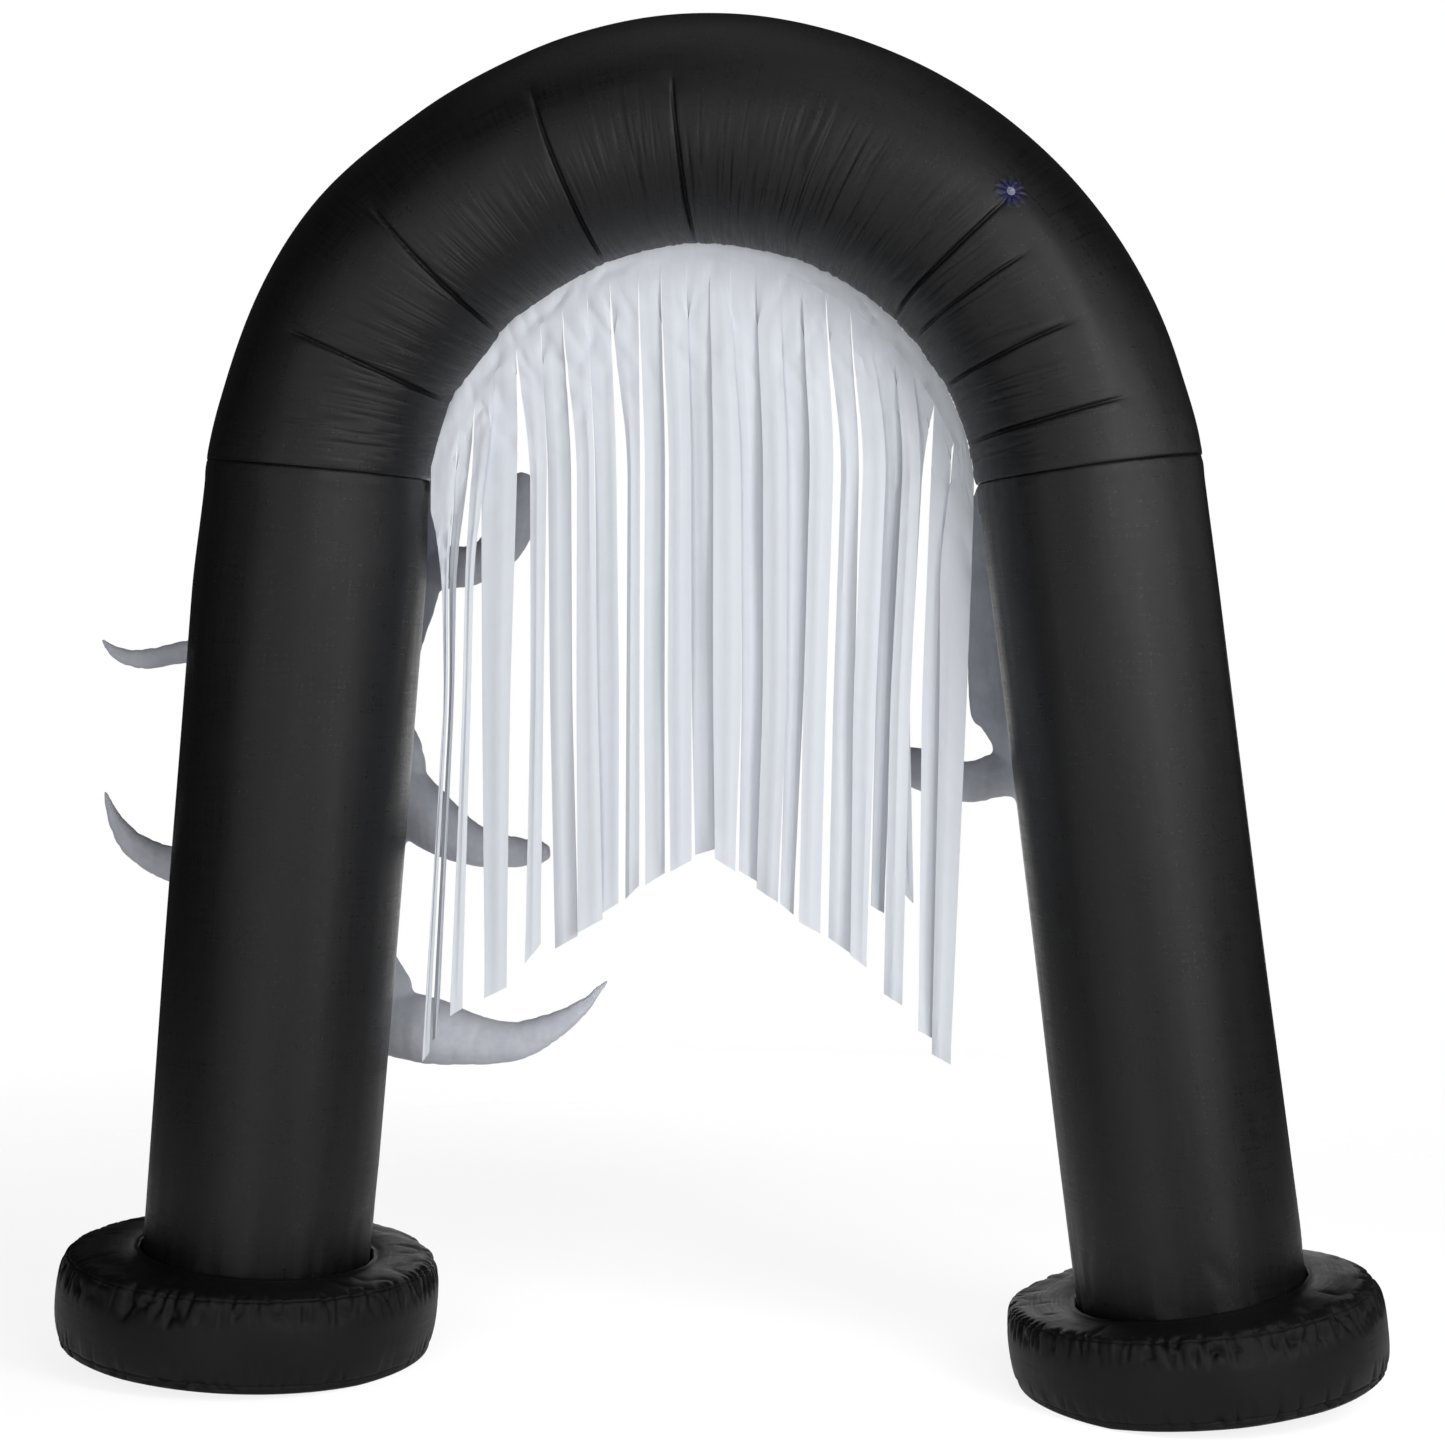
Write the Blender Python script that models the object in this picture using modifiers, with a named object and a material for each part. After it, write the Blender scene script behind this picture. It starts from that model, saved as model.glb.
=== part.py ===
"""Walk-through inflatable arch of sewn black cloth, seen from its plain back.

Two leaning leg tubes stand in fat base rings and carry one bent top tube. A white streamer
curtain hangs inside the arch, and three pale inflated figures hang on the far side of the legs.
Metres, +Z up. The floor is z = 0, the origin is midway between the feet, and the plain back of
the arch looks along -Y.
"""

import math

import bmesh
import bpy
from mathutils import Vector

# Driving dimensions
SEAT_GAP = 0.0003
TUBE_SIDES = 24
HALF_SIDE = math.pi / TUBE_SIDES
FLAT_SIDE = math.cos(HALF_SIDE)

# Top tube: its centreline is a flattened half oval over the two spring seams, which are
# square to the leaning legs
SPRING_HEIGHT = 1.835
BEND_CENTRE_X = -0.032
BEND_HALF_SPAN = 0.785
BEND_RISE = 0.6825
BEND_FLATNESS = 0.88
SHOULDER_DIP = 0.008
SHOULDER_SPAN = (96.0, 118.0, 128.0, 146.0)
SPRING_TILT_RIGHT = 7.7
SPRING_TILT_LEFT = 5.0
TILT_REACH = 12.0
STATION_STEP = 5.0
WRINKLE_DEPTH = 0.003
WRINKLE_REACH = 70.0
DART_HALF_WIDTH = 1.3
# Radius of the top tube: (angle in degrees from the right spring, radius)
TUBE_RADII = (
    (0.0, 0.2270),
    (12.0, 0.2235),
    (62.0, 0.2235),
    (90.0, 0.2284),
    (104.0, 0.2262),
    (128.0, 0.2245),
    (150.0, 0.2330),
    (170.0, 0.2264),
    (180.0, 0.2300),
)

# Darts of the top tube: (angle in degrees from the right spring, depth in metres,
# how far round the tube from its inner line in degrees)
DARTS = (
    (4.0, 0.006, 60.0),
    (7.5, 0.014, 112.0),
    (19.0, 0.012, 99.0),
    (31.0, 0.008, 99.0),
    (37.5, 0.014, 112.0),
    (91.0, 0.012, 104.0),
    (113.5, 0.014, 115.0),
    (143.5, 0.016, 113.0),
    (163.0, 0.014, 108.0),
)

# Legs: foot centre x, then the radius at the foot, along the leg and at the spring seam
LEG_COLUMNS = ("foot_x", "foot_radius", "radius", "spring_radius")
LEG_LEFT = dict(zip(LEG_COLUMNS, (-0.968, 0.2385, 0.2395, 0.2300)))
LEG_RIGHT = dict(zip(LEG_COLUMNS, (1.000, 0.2325, 0.2275, 0.2260)))
LEG_FLARE = (0.25, 1.00)
LEG_NECK = (1.58, 1.82)
FOOT_ROUNDING = 0.040
FOOT_TURNS = (0.0, 30.0, 60.0, 90.0)
LEG_ROWS = (0.230, 0.480, 0.740, 1.010, 1.280, 1.530, 1.640, 1.720)

# Base rings: middle, outer radius and height of the crown, then how much the top and the
# floor side rise towards the outer side, and where the floor side starts to rise. All rises
# are for each whole radius outwards of the middle.
RING_COLUMNS = ("centre_x", "radius", "crown", "top_rise", "floor_rise", "floor_start")
RING_LEFT = dict(zip(RING_COLUMNS, (-0.970, 0.394, 0.221, 0.020, 0.027, -0.80)))
RING_RIGHT = dict(zip(RING_COLUMNS, (0.985, 0.379, 0.208, 0.042, 0.045, -0.52)))
RING_STEPS = 96
# Section of a ring: (share of the way from the leg to the outside, share of the crown's
# height, share of the seam's pucker)
RING_SECTION = (
    (0.000, 0.210, 0.0),
    (0.000, 0.900, 0.0),
    (0.110, 0.975, 0.0),
    (0.400, 1.000, 0.0),
    (0.740, 0.985, 0.3),
    (0.890, 0.945, 1.0),
    (0.955, 0.860, 0.5),
    (0.990, 0.690, 0.0),
    (1.000, 0.450, 0.0),
    (0.985, 0.220, 0.3),
    (0.940, 0.075, 0.8),
    (0.840, 0.000, 0.0),
    (0.220, 0.000, 0.0),
    (0.070, 0.055, 0.0),
)
PUCKER_DEPTH = 0.0045
PUCKER_MEAN = 0.6
PUCKER_SWING = 0.4
PUCKER_TURN = 2.3
PUCKER_SINK = 0.5
PUCKER_FREE_HEIGHT = 0.045
# Deep folds in the top panel: (angle in degrees, depth)
RING_FOLDS_LEFT = ((247.5, 0.014), (262.5, 0.010))
RING_FOLDS_RIGHT = ((292.5, 0.008),)

# Curtain of one cloth, its header sewn to the flat inner line of the top tube
CURTAIN_Y = 0.0
CLOTH_THICKNESS = 0.0016
HEADER_GAP = 0.0010
HEADER_DEPTH_MIDDLE = 0.032
HEADER_DEPTH_SIDE = 0.085
CURTAIN_HALF_LENGTH = 0.56
FIRST_SHARE = 0.35
FIRST_DRIFT = 0.25
FIRST_SPREAD = 0.45
MID_HEIGHT = 1.370
FOOT_SHARES = (0.5, 1.0)
SLIT_EASE = 0.0020
LAYER_STEP = 0.009
# The strips' edges are given as they look in the middle plane from this standing place
VIEW_X = 0.70
VIEW_Y = -5.53
# Strips from left to right, in millimetres: root right edge, left and right edge at an upper
# height and that height, left and right edge at mid height, left and right corner of the
# foot, height of those two corners, then the layer and the side turned, which are bare counts
STRIP_COLUMNS = ("root", "upper_left", "upper_right", "upper_z", "mid_left", "mid_right",
                 "foot_left", "foot_right", "foot_left_z", "foot_right_z", "layer", "turn")
CURTAIN_LEFT_X = -582
STRIPS = (
    (-526, -560, -545, 1650, -554, -546, -600, -586, 618, 636, 0, 1),
    (-490, -543, -528, 1650, -542, -533, -579, -566, 658, 668, 2, -1),
    (-448, -510, -492, 1650, -515, -498, -541, -516, 716, 730, -1, 1),
    (-405, -477, -401, 1875, -475, -416, -468, -423, 751, 773, 1, 1),
    (-355, -376, -341, 1875, -374, -347, -384, -352, 826, 866, 0, 1),
    (-310, -339, -291, 1875, -333, -287, -321, -273, 856, 884, 1, -1),
    (-259, -279, -244, 1875, -279, -235, -274, -223, 892, 920, -1, 1),
    (-213, -242, -198, 1875, -236, -190, -232, -190, 926, 953, 1, 1),
    (-154, -174, -149, 1875, -175, -148, -176, -147, 962, 991, 0, -1),
    (-109, -139, -98, 1875, -140, -97, -134, -95, 991, 1015, 1, 1),
    (-56, -90, -45, 1875, -91, -42, -83, -40, 1021, 1044, -1, 1),
    (-9, -46, 1, 1875, -41, 10, -32, 12, 1054, 1068, 1, -1),
    (32, 0, 56, 1875, 2, 60, 8, 49, 1050, 1024, -1, 1),
    (85, 56, 103, 1875, 61, 106, 57, 96, 1024, 1000, 1, 1),
    (132, 102, 150, 1875, 104, 153, 93, 137, 989, 963, -1, -1),
    (178, 149, 198, 1875, 150, 186, 142, 168, 958, 935, 1, 1),
    (225, 197, 245, 1875, 186, 232, 180, 223, 924, 900, -1, 1),
    (275, 261, 296, 1875, 247, 290, 240, 288, 890, 858, 1, -1),
    (320, 305, 351, 1875, 287, 332, 285, 317, 858, 834, -1, 1),
    (364, 347, 387, 1875, 332, 366, 326, 352, 957, 941, 1, 1),
    (403, 385, 421, 1875, 362, 402, 353, 391, 780, 759, -1, -1),
    (445, 396, 424, 1875, 366, 400, 396, 412, 980, 962, 2, 1),
    (485, 441, 479, 1875, 425, 463, 424, 455, 706, 688, 1, 1),
    (525, 459, 523, 1655, 461, 515, 451, 489, 660, 641, -1, -1),
)

# Figures: flattened bolsters between the far side of a leg and the reach of the rings
FIGURE_FRONT_Y = 0.386
FIGURE_SIDES = 16
FIGURE_FLAT = math.cos(math.pi / FIGURE_SIDES)
LIMB_SIDES = 10
# Bodies from top to bottom: (height, centre x, half width, share of the full depth)
BODY_LEFT_UPPER = (
    (1.993, -0.820, 0.035, 0.30),
    (1.968, -0.820, 0.105, 0.62),
    (1.898, -0.820, 0.168, 0.88),
    (1.753, -0.822, 0.206, 1.00),
    (1.608, -0.824, 0.194, 1.00),
    (1.448, -0.826, 0.148, 1.00),
    (1.393, -0.826, 0.138, 0.90),
    (1.364, -0.826, 0.100, 0.66),
    (1.352, -0.826, 0.040, 0.30),
)
BODY_LEFT_LOWER = (
    (1.344, -0.850, 0.040, 0.30),
    (1.330, -0.850, 0.100, 0.66),
    (1.293, -0.850, 0.160, 0.90),
    (1.188, -0.855, 0.190, 1.00),
    (1.048, -0.868, 0.160, 1.00),
    (0.888, -0.880, 0.140, 1.00),
    (0.800, -0.872, 0.140, 1.00),
    (0.735, -0.860, 0.165, 0.96),
    (0.660, -0.855, 0.150, 0.90),
    (0.590, -0.845, 0.110, 0.75),
    (0.548, -0.840, 0.045, 0.34),
)
BODY_RIGHT = (
    (1.973, 0.762, 0.040, 0.30),
    (1.948, 0.760, 0.115, 0.62),
    (1.880, 0.756, 0.190, 0.88),
    (1.767, 0.752, 0.248, 1.00),
    (1.608, 0.760, 0.259, 1.00),
    (1.468, 0.766, 0.262, 1.00),
    (1.335, 0.772, 0.260, 1.00),
    (1.300, 0.778, 0.238, 1.00),
    (1.262, 0.784, 0.224, 1.00),
    (1.088, 0.810, 0.176, 0.96),
    (0.908, 0.840, 0.130, 0.84),
    (0.748, 0.860, 0.080, 0.66),
    (0.648, 0.872, 0.030, 0.34),
)
# Limbs: (x, y, z, radius) along the middle line, root first
ARM_LEFT_UPPER = (
    (-0.720, 0.312, 1.648, 0.050),
    (-0.610, 0.312, 1.640, 0.046),
    (-0.535, 0.308, 1.656, 0.044),
    (-0.482, 0.300, 1.708, 0.048),
    (-0.462, 0.296, 1.770, 0.044),
    (-0.452, 0.294, 1.820, 0.032),
    (-0.449, 0.293, 1.846, 0.012),
)
HORN_LEFT_UPPER = (
    (-0.960, 0.312, 1.470, 0.046),
    (-1.080, 0.286, 1.463, 0.035),
    (-1.180, 0.244, 1.455, 0.026),
    (-1.262, 0.214, 1.439, 0.023),
    (-1.322, 0.202, 1.453, 0.014),
    (-1.356, 0.195, 1.488, 0.003),
)
HORN_LEFT_LOWER = (
    (-0.970, 0.312, 0.954, 0.060),
    (-1.090, 0.290, 0.966, 0.050),
    (-1.218, 0.242, 0.995, 0.038),
    (-1.287, 0.212, 1.037, 0.029),
    (-1.326, 0.200, 1.094, 0.016),
    (-1.346, 0.194, 1.156, 0.004),
)
ARM_LEFT_LOWER = (
    (-0.840, 0.312, 1.206, 0.072),
    (-0.735, 0.312, 1.158, 0.070),
    (-0.650, 0.311, 1.090, 0.064),
    (-0.585, 0.308, 1.050, 0.051),
    (-0.515, 0.304, 1.030, 0.040),
    (-0.445, 0.300, 1.026, 0.032),
    (-0.406, 0.298, 1.027, 0.026),
    (-0.385, 0.297, 1.028, 0.010),
)
TAIL_LEFT_LOWER = (
    (-0.840, 0.312, 0.662, 0.073),
    (-0.745, 0.312, 0.648, 0.074),
    (-0.650, 0.311, 0.631, 0.073),
    (-0.560, 0.308, 0.615, 0.056),
    (-0.470, 0.304, 0.614, 0.044),
    (-0.390, 0.300, 0.645, 0.032),
    (-0.320, 0.297, 0.691, 0.018),
    (-0.259, 0.295, 0.755, 0.004),
)
ARM_RIGHT = (
    (0.690, 0.312, 1.215, 0.060),
    (0.590, 0.312, 1.209, 0.050),
    (0.505, 0.309, 1.190, 0.044),
    (0.430, 0.306, 1.210, 0.047),
    (0.372, 0.303, 1.229, 0.037),
    (0.332, 0.301, 1.244, 0.015),
)

# Lamp dome on the right shoulder, on the tube side whose middle looks along LAMP_ROUND
LAMP_RADIUS = 0.0085
LAMP_HEIGHT = 0.0095
LAMP_ANGLE = 39.7
LAMP_HALF_SPAN = 0.9
LAMP_ROUND = -60.0
LAMP_STEPS = 16
LAMP_RINGS = 4

# Bare folded tab beside the right end of the curtain
TAB_WIDTH = 0.010
TAB_LENGTH = 0.046
TAB_THICKNESS = 0.0016
TAB_TOP = 1.794
TAB_Y = 0.012

SMOOTH_ANGLE = 50.0
EDGE_HALVINGS = 40

COLOURS = {
    "black_cloth": ((0.020, 0.020, 0.022, 1.0), 0.62),
    "black_base_cloth": ((0.014, 0.014, 0.016, 1.0), 0.66),
    "white_streamer": ((0.660, 0.690, 0.740, 1.0), 0.78),
    "pale_cloth": ((0.300, 0.310, 0.370, 1.0), 0.70),
    "clear_lamp": ((0.330, 0.360, 0.560, 1.0), 0.25),
    "beige_tab": ((0.360, 0.340, 0.320, 1.0), 0.80),
}


def clear_scene():
    """Remove every object, so that the script can run in any file."""
    for item in list(bpy.data.objects):
        bpy.data.objects.remove(item, do_unlink=True)


def new_collection(name):
    """Make a collection under the scene's own."""
    group = bpy.data.collections.new(name)
    bpy.context.scene.collection.children.link(group)
    return group


def new_material(name):
    """Make one finish from the table of colours."""
    colour, roughness = COLOURS[name]
    finish = bpy.data.materials.new(name)
    finish.use_nodes = True
    shader = finish.node_tree.nodes["Principled BSDF"]
    shader.inputs["Base Color"].default_value = colour
    shader.inputs["Roughness"].default_value = roughness
    shader.inputs["Metallic"].default_value = 0.0
    return finish


def place_mesh(name, form, finish, group):
    """Turn a bmesh into a named object with its finish."""
    mesh = bpy.data.meshes.new(name)
    bmesh.ops.recalc_face_normals(form, faces=form.faces)
    form.to_mesh(mesh)
    form.free()
    mesh.materials.append(finish)
    mesh.shade_smooth()
    mesh.set_sharp_from_angle(angle=math.radians(SMOOTH_ANGLE))
    item = bpy.data.objects.new(name, mesh)
    group.objects.link(item)
    return item


def loft(sections, closed_round=False):
    """Join unlike closed sections of equal point count into one closed body."""
    form = bmesh.new()
    loops = [[form.verts.new(point) for point in section] for section in sections]
    count = len(loops[0])
    pairs = list(zip(loops, loops[1:]))
    if closed_round:
        pairs.append((loops[-1], loops[0]))
    for lower, upper in pairs:
        for index in range(count):
            after = (index + 1) % count
            form.faces.new((lower[index], lower[after], upper[after], upper[index]))
    if not closed_round:
        form.faces.new(list(reversed(loops[0])))
        form.faces.new(loops[-1])
    return form


def ease(low, high, value):
    """Rise smoothly from 0 at low to 1 at high."""
    share = min(1.0, max(0.0, (value - low) / (high - low)))
    return share * share * (3.0 - 2.0 * share)


def bend_centre(angle):
    """Centre of the top tube at an angle in degrees from the right spring."""
    turn = math.radians(angle)
    rise = max(0.0, math.sin(turn)) ** BEND_FLATNESS
    start, full, fading, end = SHOULDER_SPAN
    dip = SHOULDER_DIP * ease(start, full, angle) * (1.0 - ease(fading, end, angle))
    reach = BEND_HALF_SPAN - (BEND_HALF_SPAN - BEND_RISE) * rise - dip
    x = BEND_CENTRE_X + reach * math.cos(turn)
    return Vector((x, 0.0, SPRING_HEIGHT + reach * math.sin(turn)))


def bend_outward(angle):
    """Direction out through the tube in the plane of its section at an angle in degrees.

    It points away from the bend's middle, but turns with the leaning leg at each spring.
    """
    tilt_right = SPRING_TILT_RIGHT * (1.0 - ease(0.0, TILT_REACH, angle))
    tilt_left = SPRING_TILT_LEFT * ease(180.0 - TILT_REACH, 180.0, angle)
    turn = math.radians(angle + tilt_right - tilt_left)
    return Vector((math.cos(turn), 0.0, math.sin(turn)))


def tube_radius(angle):
    """Radius of the top tube, read smoothly between the rows of its table."""
    for (low, radius), (high, next_radius) in zip(TUBE_RADII, TUBE_RADII[1:]):
        if angle <= high:
            return radius + (next_radius - radius) * ease(low, high, angle)
    return TUBE_RADII[-1][1]


def drawn_in(round_angle, depth, reach):
    """Depth of a dart or wrinkle at an angle round the tube from its outer line."""
    from_inner = abs(180.0 - abs(round_angle))
    if from_inner >= reach:
        return 0.0
    return depth * math.cos(0.5 * math.pi * from_inner / reach) ** 2


def top_section(angle, depth, reach):
    """Closed section of the top tube at one station, with its tuck drawn in."""
    centre = bend_centre(angle)
    outward = bend_outward(angle)
    points = []
    for index in range(TUBE_SIDES):
        round_angle = math.degrees((index + 0.5) * 2.0 * HALF_SIDE)
        if round_angle > 180.0:
            round_angle -= 360.0
        radius = tube_radius(angle) - drawn_in(round_angle, depth, reach)
        side = math.radians(round_angle)
        points.append(centre + outward * (radius * math.cos(side))
                      + Vector((0.0, radius * math.sin(side), 0.0)))
    return points


def top_stations():
    """Angles, depths and reaches of the top tube's sections, in order."""
    stations = []
    for dart_angle, depth, reach in DARTS:
        stations.append((dart_angle - DART_HALF_WIDTH, 0.0, reach))
        stations.append((dart_angle, depth, reach))
        stations.append((dart_angle + DART_HALF_WIDTH, 0.0, reach))
    stations.append((LAMP_ANGLE + LAMP_HALF_SPAN, 0.0, WRINKLE_REACH))
    steps = int(round(180.0 / STATION_STEP))
    for index in range(steps + 1):
        angle = index * STATION_STEP
        clear = all(abs(angle - dart[0]) > 2.0 * DART_HALF_WIDTH for dart in DARTS)
        if index in (0, steps):
            stations.append((angle, 0.0, WRINKLE_REACH))
        elif clear:
            stations.append((angle, WRINKLE_DEPTH * (index % 2), WRINKLE_REACH))
    return sorted(stations)


def build_arch_top(finish, group):
    """The bent top tube, one filled solid with its darts and wrinkles."""
    sections = [top_section(angle, depth, reach) for angle, depth, reach in top_stations()]
    return place_mesh("arch_top", loft(sections), finish, group)


def spring_angle(leg):
    """Angle of the spring seam that a leg carries."""
    return 0.0 if leg["foot_x"] > 0.0 else 180.0


def leg_centre_x(leg, height):
    """Middle of a leg at a height, on the straight line from its foot to its spring."""
    spring_x = bend_centre(spring_angle(leg)).x
    return leg["foot_x"] + (spring_x - leg["foot_x"]) * height / SPRING_HEIGHT


def leg_radius(leg, height):
    """Radius of a leg at a height, with its flare at the foot and its neck at the spring."""
    flare = (leg["foot_radius"] - leg["radius"]) * (1.0 - ease(*LEG_FLARE, height))
    neck = (leg["radius"] - leg["spring_radius"]) * ease(*LEG_NECK, height)
    return leg["radius"] + flare - neck


def leg_section(leg, height, inset=0.0, tilted=False):
    """Section of a leg, its points in line with those of the top tube.

    It is level, or in the plane of the spring seam if it is tilted.
    """
    outward = 1.0 if leg["foot_x"] > 0.0 else -1.0
    rise = bend_outward(spring_angle(leg))
    lean = abs(leg["foot_x"] - bend_centre(spring_angle(leg)).x) / SPRING_HEIGHT
    slope = rise.z / (abs(rise.x) + lean * rise.z) if tilted else 0.0
    points = []
    for index in range(TUBE_SIDES):
        side = (index + 0.5) * 2.0 * HALF_SIDE
        out = (leg_radius(leg, height) - inset) * math.cos(side)
        level = height + slope * out
        across = (leg_radius(leg, level) - inset) * math.sin(side)
        points.append(Vector((leg_centre_x(leg, level) + outward * out, across, level)))
    return points


def build_leg(name, leg, finish, group):
    """One leg tube, flat where it stands and rounded above that."""
    sections = []
    for turn in FOOT_TURNS:
        height = FOOT_ROUNDING * (1.0 - math.cos(math.radians(turn)))
        inset = FOOT_ROUNDING * (1.0 - math.sin(math.radians(turn)))
        sections.append(leg_section(leg, height, inset))
    for height in LEG_ROWS:
        sections.append(leg_section(leg, height))
    sections.append(leg_section(leg, SPRING_HEIGHT - SEAT_GAP, tilted=True))
    return place_mesh(name, loft(sections), finish, group)


def ring_inner(leg, turn, height):
    """Point of a ring's inner wall, a seat gap off the sides of the leg in it."""
    off_middle = (turn + HALF_SIDE) % (2.0 * HALF_SIDE) - HALF_SIDE
    radius = leg_radius(leg, height) * FLAT_SIDE / math.cos(off_middle) + SEAT_GAP
    x = leg_centre_x(leg, height) + radius * math.cos(turn)
    return Vector((x, radius * math.sin(turn), height))


def ring_outer(leg, ring, turn, height):
    """Point of a ring's outer wall, which leans as its leg does."""
    lean = leg_centre_x(leg, height) - leg_centre_x(leg, 0.5 * ring["crown"])
    x = ring["centre_x"] + lean + ring["radius"] * math.cos(turn)
    return Vector((x, ring["radius"] * math.sin(turn), height))


def ring_pucker(step, folds):
    """Depth of the gathers of a ring's seams at one step round it."""
    depth = PUCKER_DEPTH * (step % 2) * (PUCKER_MEAN + PUCKER_SWING * math.sin(PUCKER_TURN * step))
    step_angle = 360.0 / RING_STEPS
    for fold_angle, fold_depth in folds:
        if abs(step * step_angle - fold_angle) < 0.5 * step_angle:
            depth = fold_depth
    return depth


def build_ring(name, leg, ring, folds, finish, group):
    """One base ring: a fat drum round the foot of a leg, its seams gathered."""
    side = 1.0 if ring["centre_x"] > 0.0 else -1.0
    sections = []
    for step in range(RING_STEPS):
        turn = 2.0 * math.pi * step / RING_STEPS
        facing = side * math.cos(turn)
        floor_rise = ring["floor_rise"] * max(0.0, facing - ring["floor_start"])
        top_rise = ring["top_rise"] * facing
        pucker = ring_pucker(step, folds)
        inward = Vector((-math.cos(turn), -math.sin(turn), 0.0))
        points = []
        for share, height_share, gathered in RING_SECTION:
            height = (ring["crown"] + top_rise) * height_share
            height += floor_rise * share * (1.0 - height_share)
            point = ring_inner(leg, turn, height).lerp(ring_outer(leg, ring, turn, height), share)
            point += inward * (pucker * gathered)
            point.z -= PUCKER_SINK * pucker * gathered * ease(0.0, PUCKER_FREE_HEIGHT, height)
            points.append(point)
        sections.append(points)
    return place_mesh(name, loft(sections, closed_round=True), finish, group)


def inner_line(angle):
    """Point just under the flat inner line of the top tube, where the header is sewn."""
    drop = tube_radius(angle) * FLAT_SIDE + HEADER_GAP
    return bend_centre(angle) - bend_outward(angle) * drop


def header_top(x):
    """Height of the header's sewn edge over a place x, found by halving the angle."""
    low, high = 0.0, 180.0
    for _ in range(EDGE_HALVINGS):
        middle = 0.5 * (low + high)
        if inner_line(middle).x > x:
            low = middle
        else:
            high = middle
    return inner_line(low).z


def in_sight(x, y, height):
    """Place off the middle plane that looks from the standing place as if it were in it at x."""
    return Vector((x + (x - VIEW_X) * (y - CURTAIN_Y) / (CURTAIN_Y - VIEW_Y), y, height))


def strip_rows(strip, root_left):
    """Left and right edge of one strip, row by row from its root to its foot."""
    width = strip["root"] - root_left
    root_right = strip["root"]
    tops = [header_top(x) - header_depth(x) for x in (root_left, root_right)]
    layer = CURTAIN_Y + LAYER_STEP * strip["layer"]

    def edges(left, right, heights, spread):
        shown = min(right - left, width)
        turned = strip["turn"] * spread * math.sqrt(max(0.0, width * width - shown * shown))
        level = CURTAIN_Y + (layer - CURTAIN_Y) * spread
        return (in_sight(left, level - 0.5 * turned, heights[0]),
                in_sight(right, level + 0.5 * turned, heights[1]))

    rows = []
    uppers = (strip["upper_z"], strip["upper_z"])
    firsts = [top + (strip["upper_z"] - top) * FIRST_SHARE for top in tops]
    left = root_left + SLIT_EASE + FIRST_DRIFT * (strip["upper_left"] - root_left)
    right = root_right - SLIT_EASE + FIRST_DRIFT * (strip["upper_right"] - root_right)
    rows.append(edges(left, right, firsts, FIRST_SPREAD))
    rows.append(edges(strip["upper_left"], strip["upper_right"], uppers, 1.0))
    rows.append(edges(strip["mid_left"], strip["mid_right"], (MID_HEIGHT, MID_HEIGHT), 1.0))
    feet = (strip["foot_left_z"], strip["foot_right_z"])
    for share in FOOT_SHARES:
        left = strip["mid_left"] + (strip["foot_left"] - strip["mid_left"]) * share
        right = strip["mid_right"] + (strip["foot_right"] - strip["mid_right"]) * share
        heights = [MID_HEIGHT + (foot - MID_HEIGHT) * share for foot in feet]
        rows.append(edges(left, right, heights, 1.0))
    return rows


def header_depth(x):
    """Depth of the header band, deeper towards the sides."""
    share = (x / CURTAIN_HALF_LENGTH) ** 2
    return HEADER_DEPTH_MIDDLE + (HEADER_DEPTH_SIDE - HEADER_DEPTH_MIDDLE) * share


def build_curtain(finish, group):
    """Header and strips as one cloth, slit from the hem up and given its thickness."""
    form = bmesh.new()
    edge_x = [CURTAIN_LEFT_X / 1000.0] + [row[0] / 1000.0 for row in STRIPS]
    tops = [form.verts.new((x, CURTAIN_Y, header_top(x))) for x in edge_x]
    roots = [form.verts.new((x, CURTAIN_Y, header_top(x) - header_depth(x))) for x in edge_x]
    for index, row in enumerate(STRIPS):
        strip = dict(zip(STRIP_COLUMNS, row))
        for column in STRIP_COLUMNS[:-2]:
            strip[column] = strip[column] / 1000.0
        form.faces.new((tops[index], roots[index], roots[index + 1], tops[index + 1]))
        above = (roots[index], roots[index + 1])
        for left, right in strip_rows(strip, edge_x[index]):
            below = (form.verts.new(left), form.verts.new(right))
            form.faces.new((above[0], below[0], below[1], above[1]))
            above = below
    item = place_mesh("curtain", form, finish, group)
    cloth = item.modifiers.new("cloth", "SOLIDIFY")
    cloth.thickness = CLOTH_THICKNESS
    cloth.offset = 0.0
    return item


def body_form(stations, back_y):
    """Flattened bolster, its back flat against the leg where it is full."""
    full_depth = (FIGURE_FRONT_Y - back_y) / (2.0 * FIGURE_FLAT)
    centre_y = 0.5 * (FIGURE_FRONT_Y + back_y)
    sections = []
    for height, centre_x, half_width, depth_share in stations:
        points = []
        for index in range(FIGURE_SIDES):
            side = (index + 0.5) * 2.0 * math.pi / FIGURE_SIDES
            points.append(Vector((centre_x + half_width * math.cos(side),
                                  centre_y + full_depth * depth_share * math.sin(side),
                                  height)))
        sections.append(points)
    return loft(sections)


def limb_form(stations):
    """Tapered round limb along its middle line."""
    centres = [Vector(station[:3]) for station in stations]
    sections = []
    across = Vector((0.0, 1.0, 0.0))
    for index, station in enumerate(stations):
        before = centres[max(0, index - 1)]
        after = centres[min(len(centres) - 1, index + 1)]
        along = (after - before).normalized()
        upward = along.cross(across).normalized()
        sideways = upward.cross(along).normalized()
        points = []
        for step in range(LIMB_SIDES):
            turn = 2.0 * math.pi * step / LIMB_SIDES
            points.append(centres[index] + upward * (station[3] * math.cos(turn))
                          + sideways * (station[3] * math.sin(turn)))
        sections.append(points)
    return loft(sections)


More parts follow.
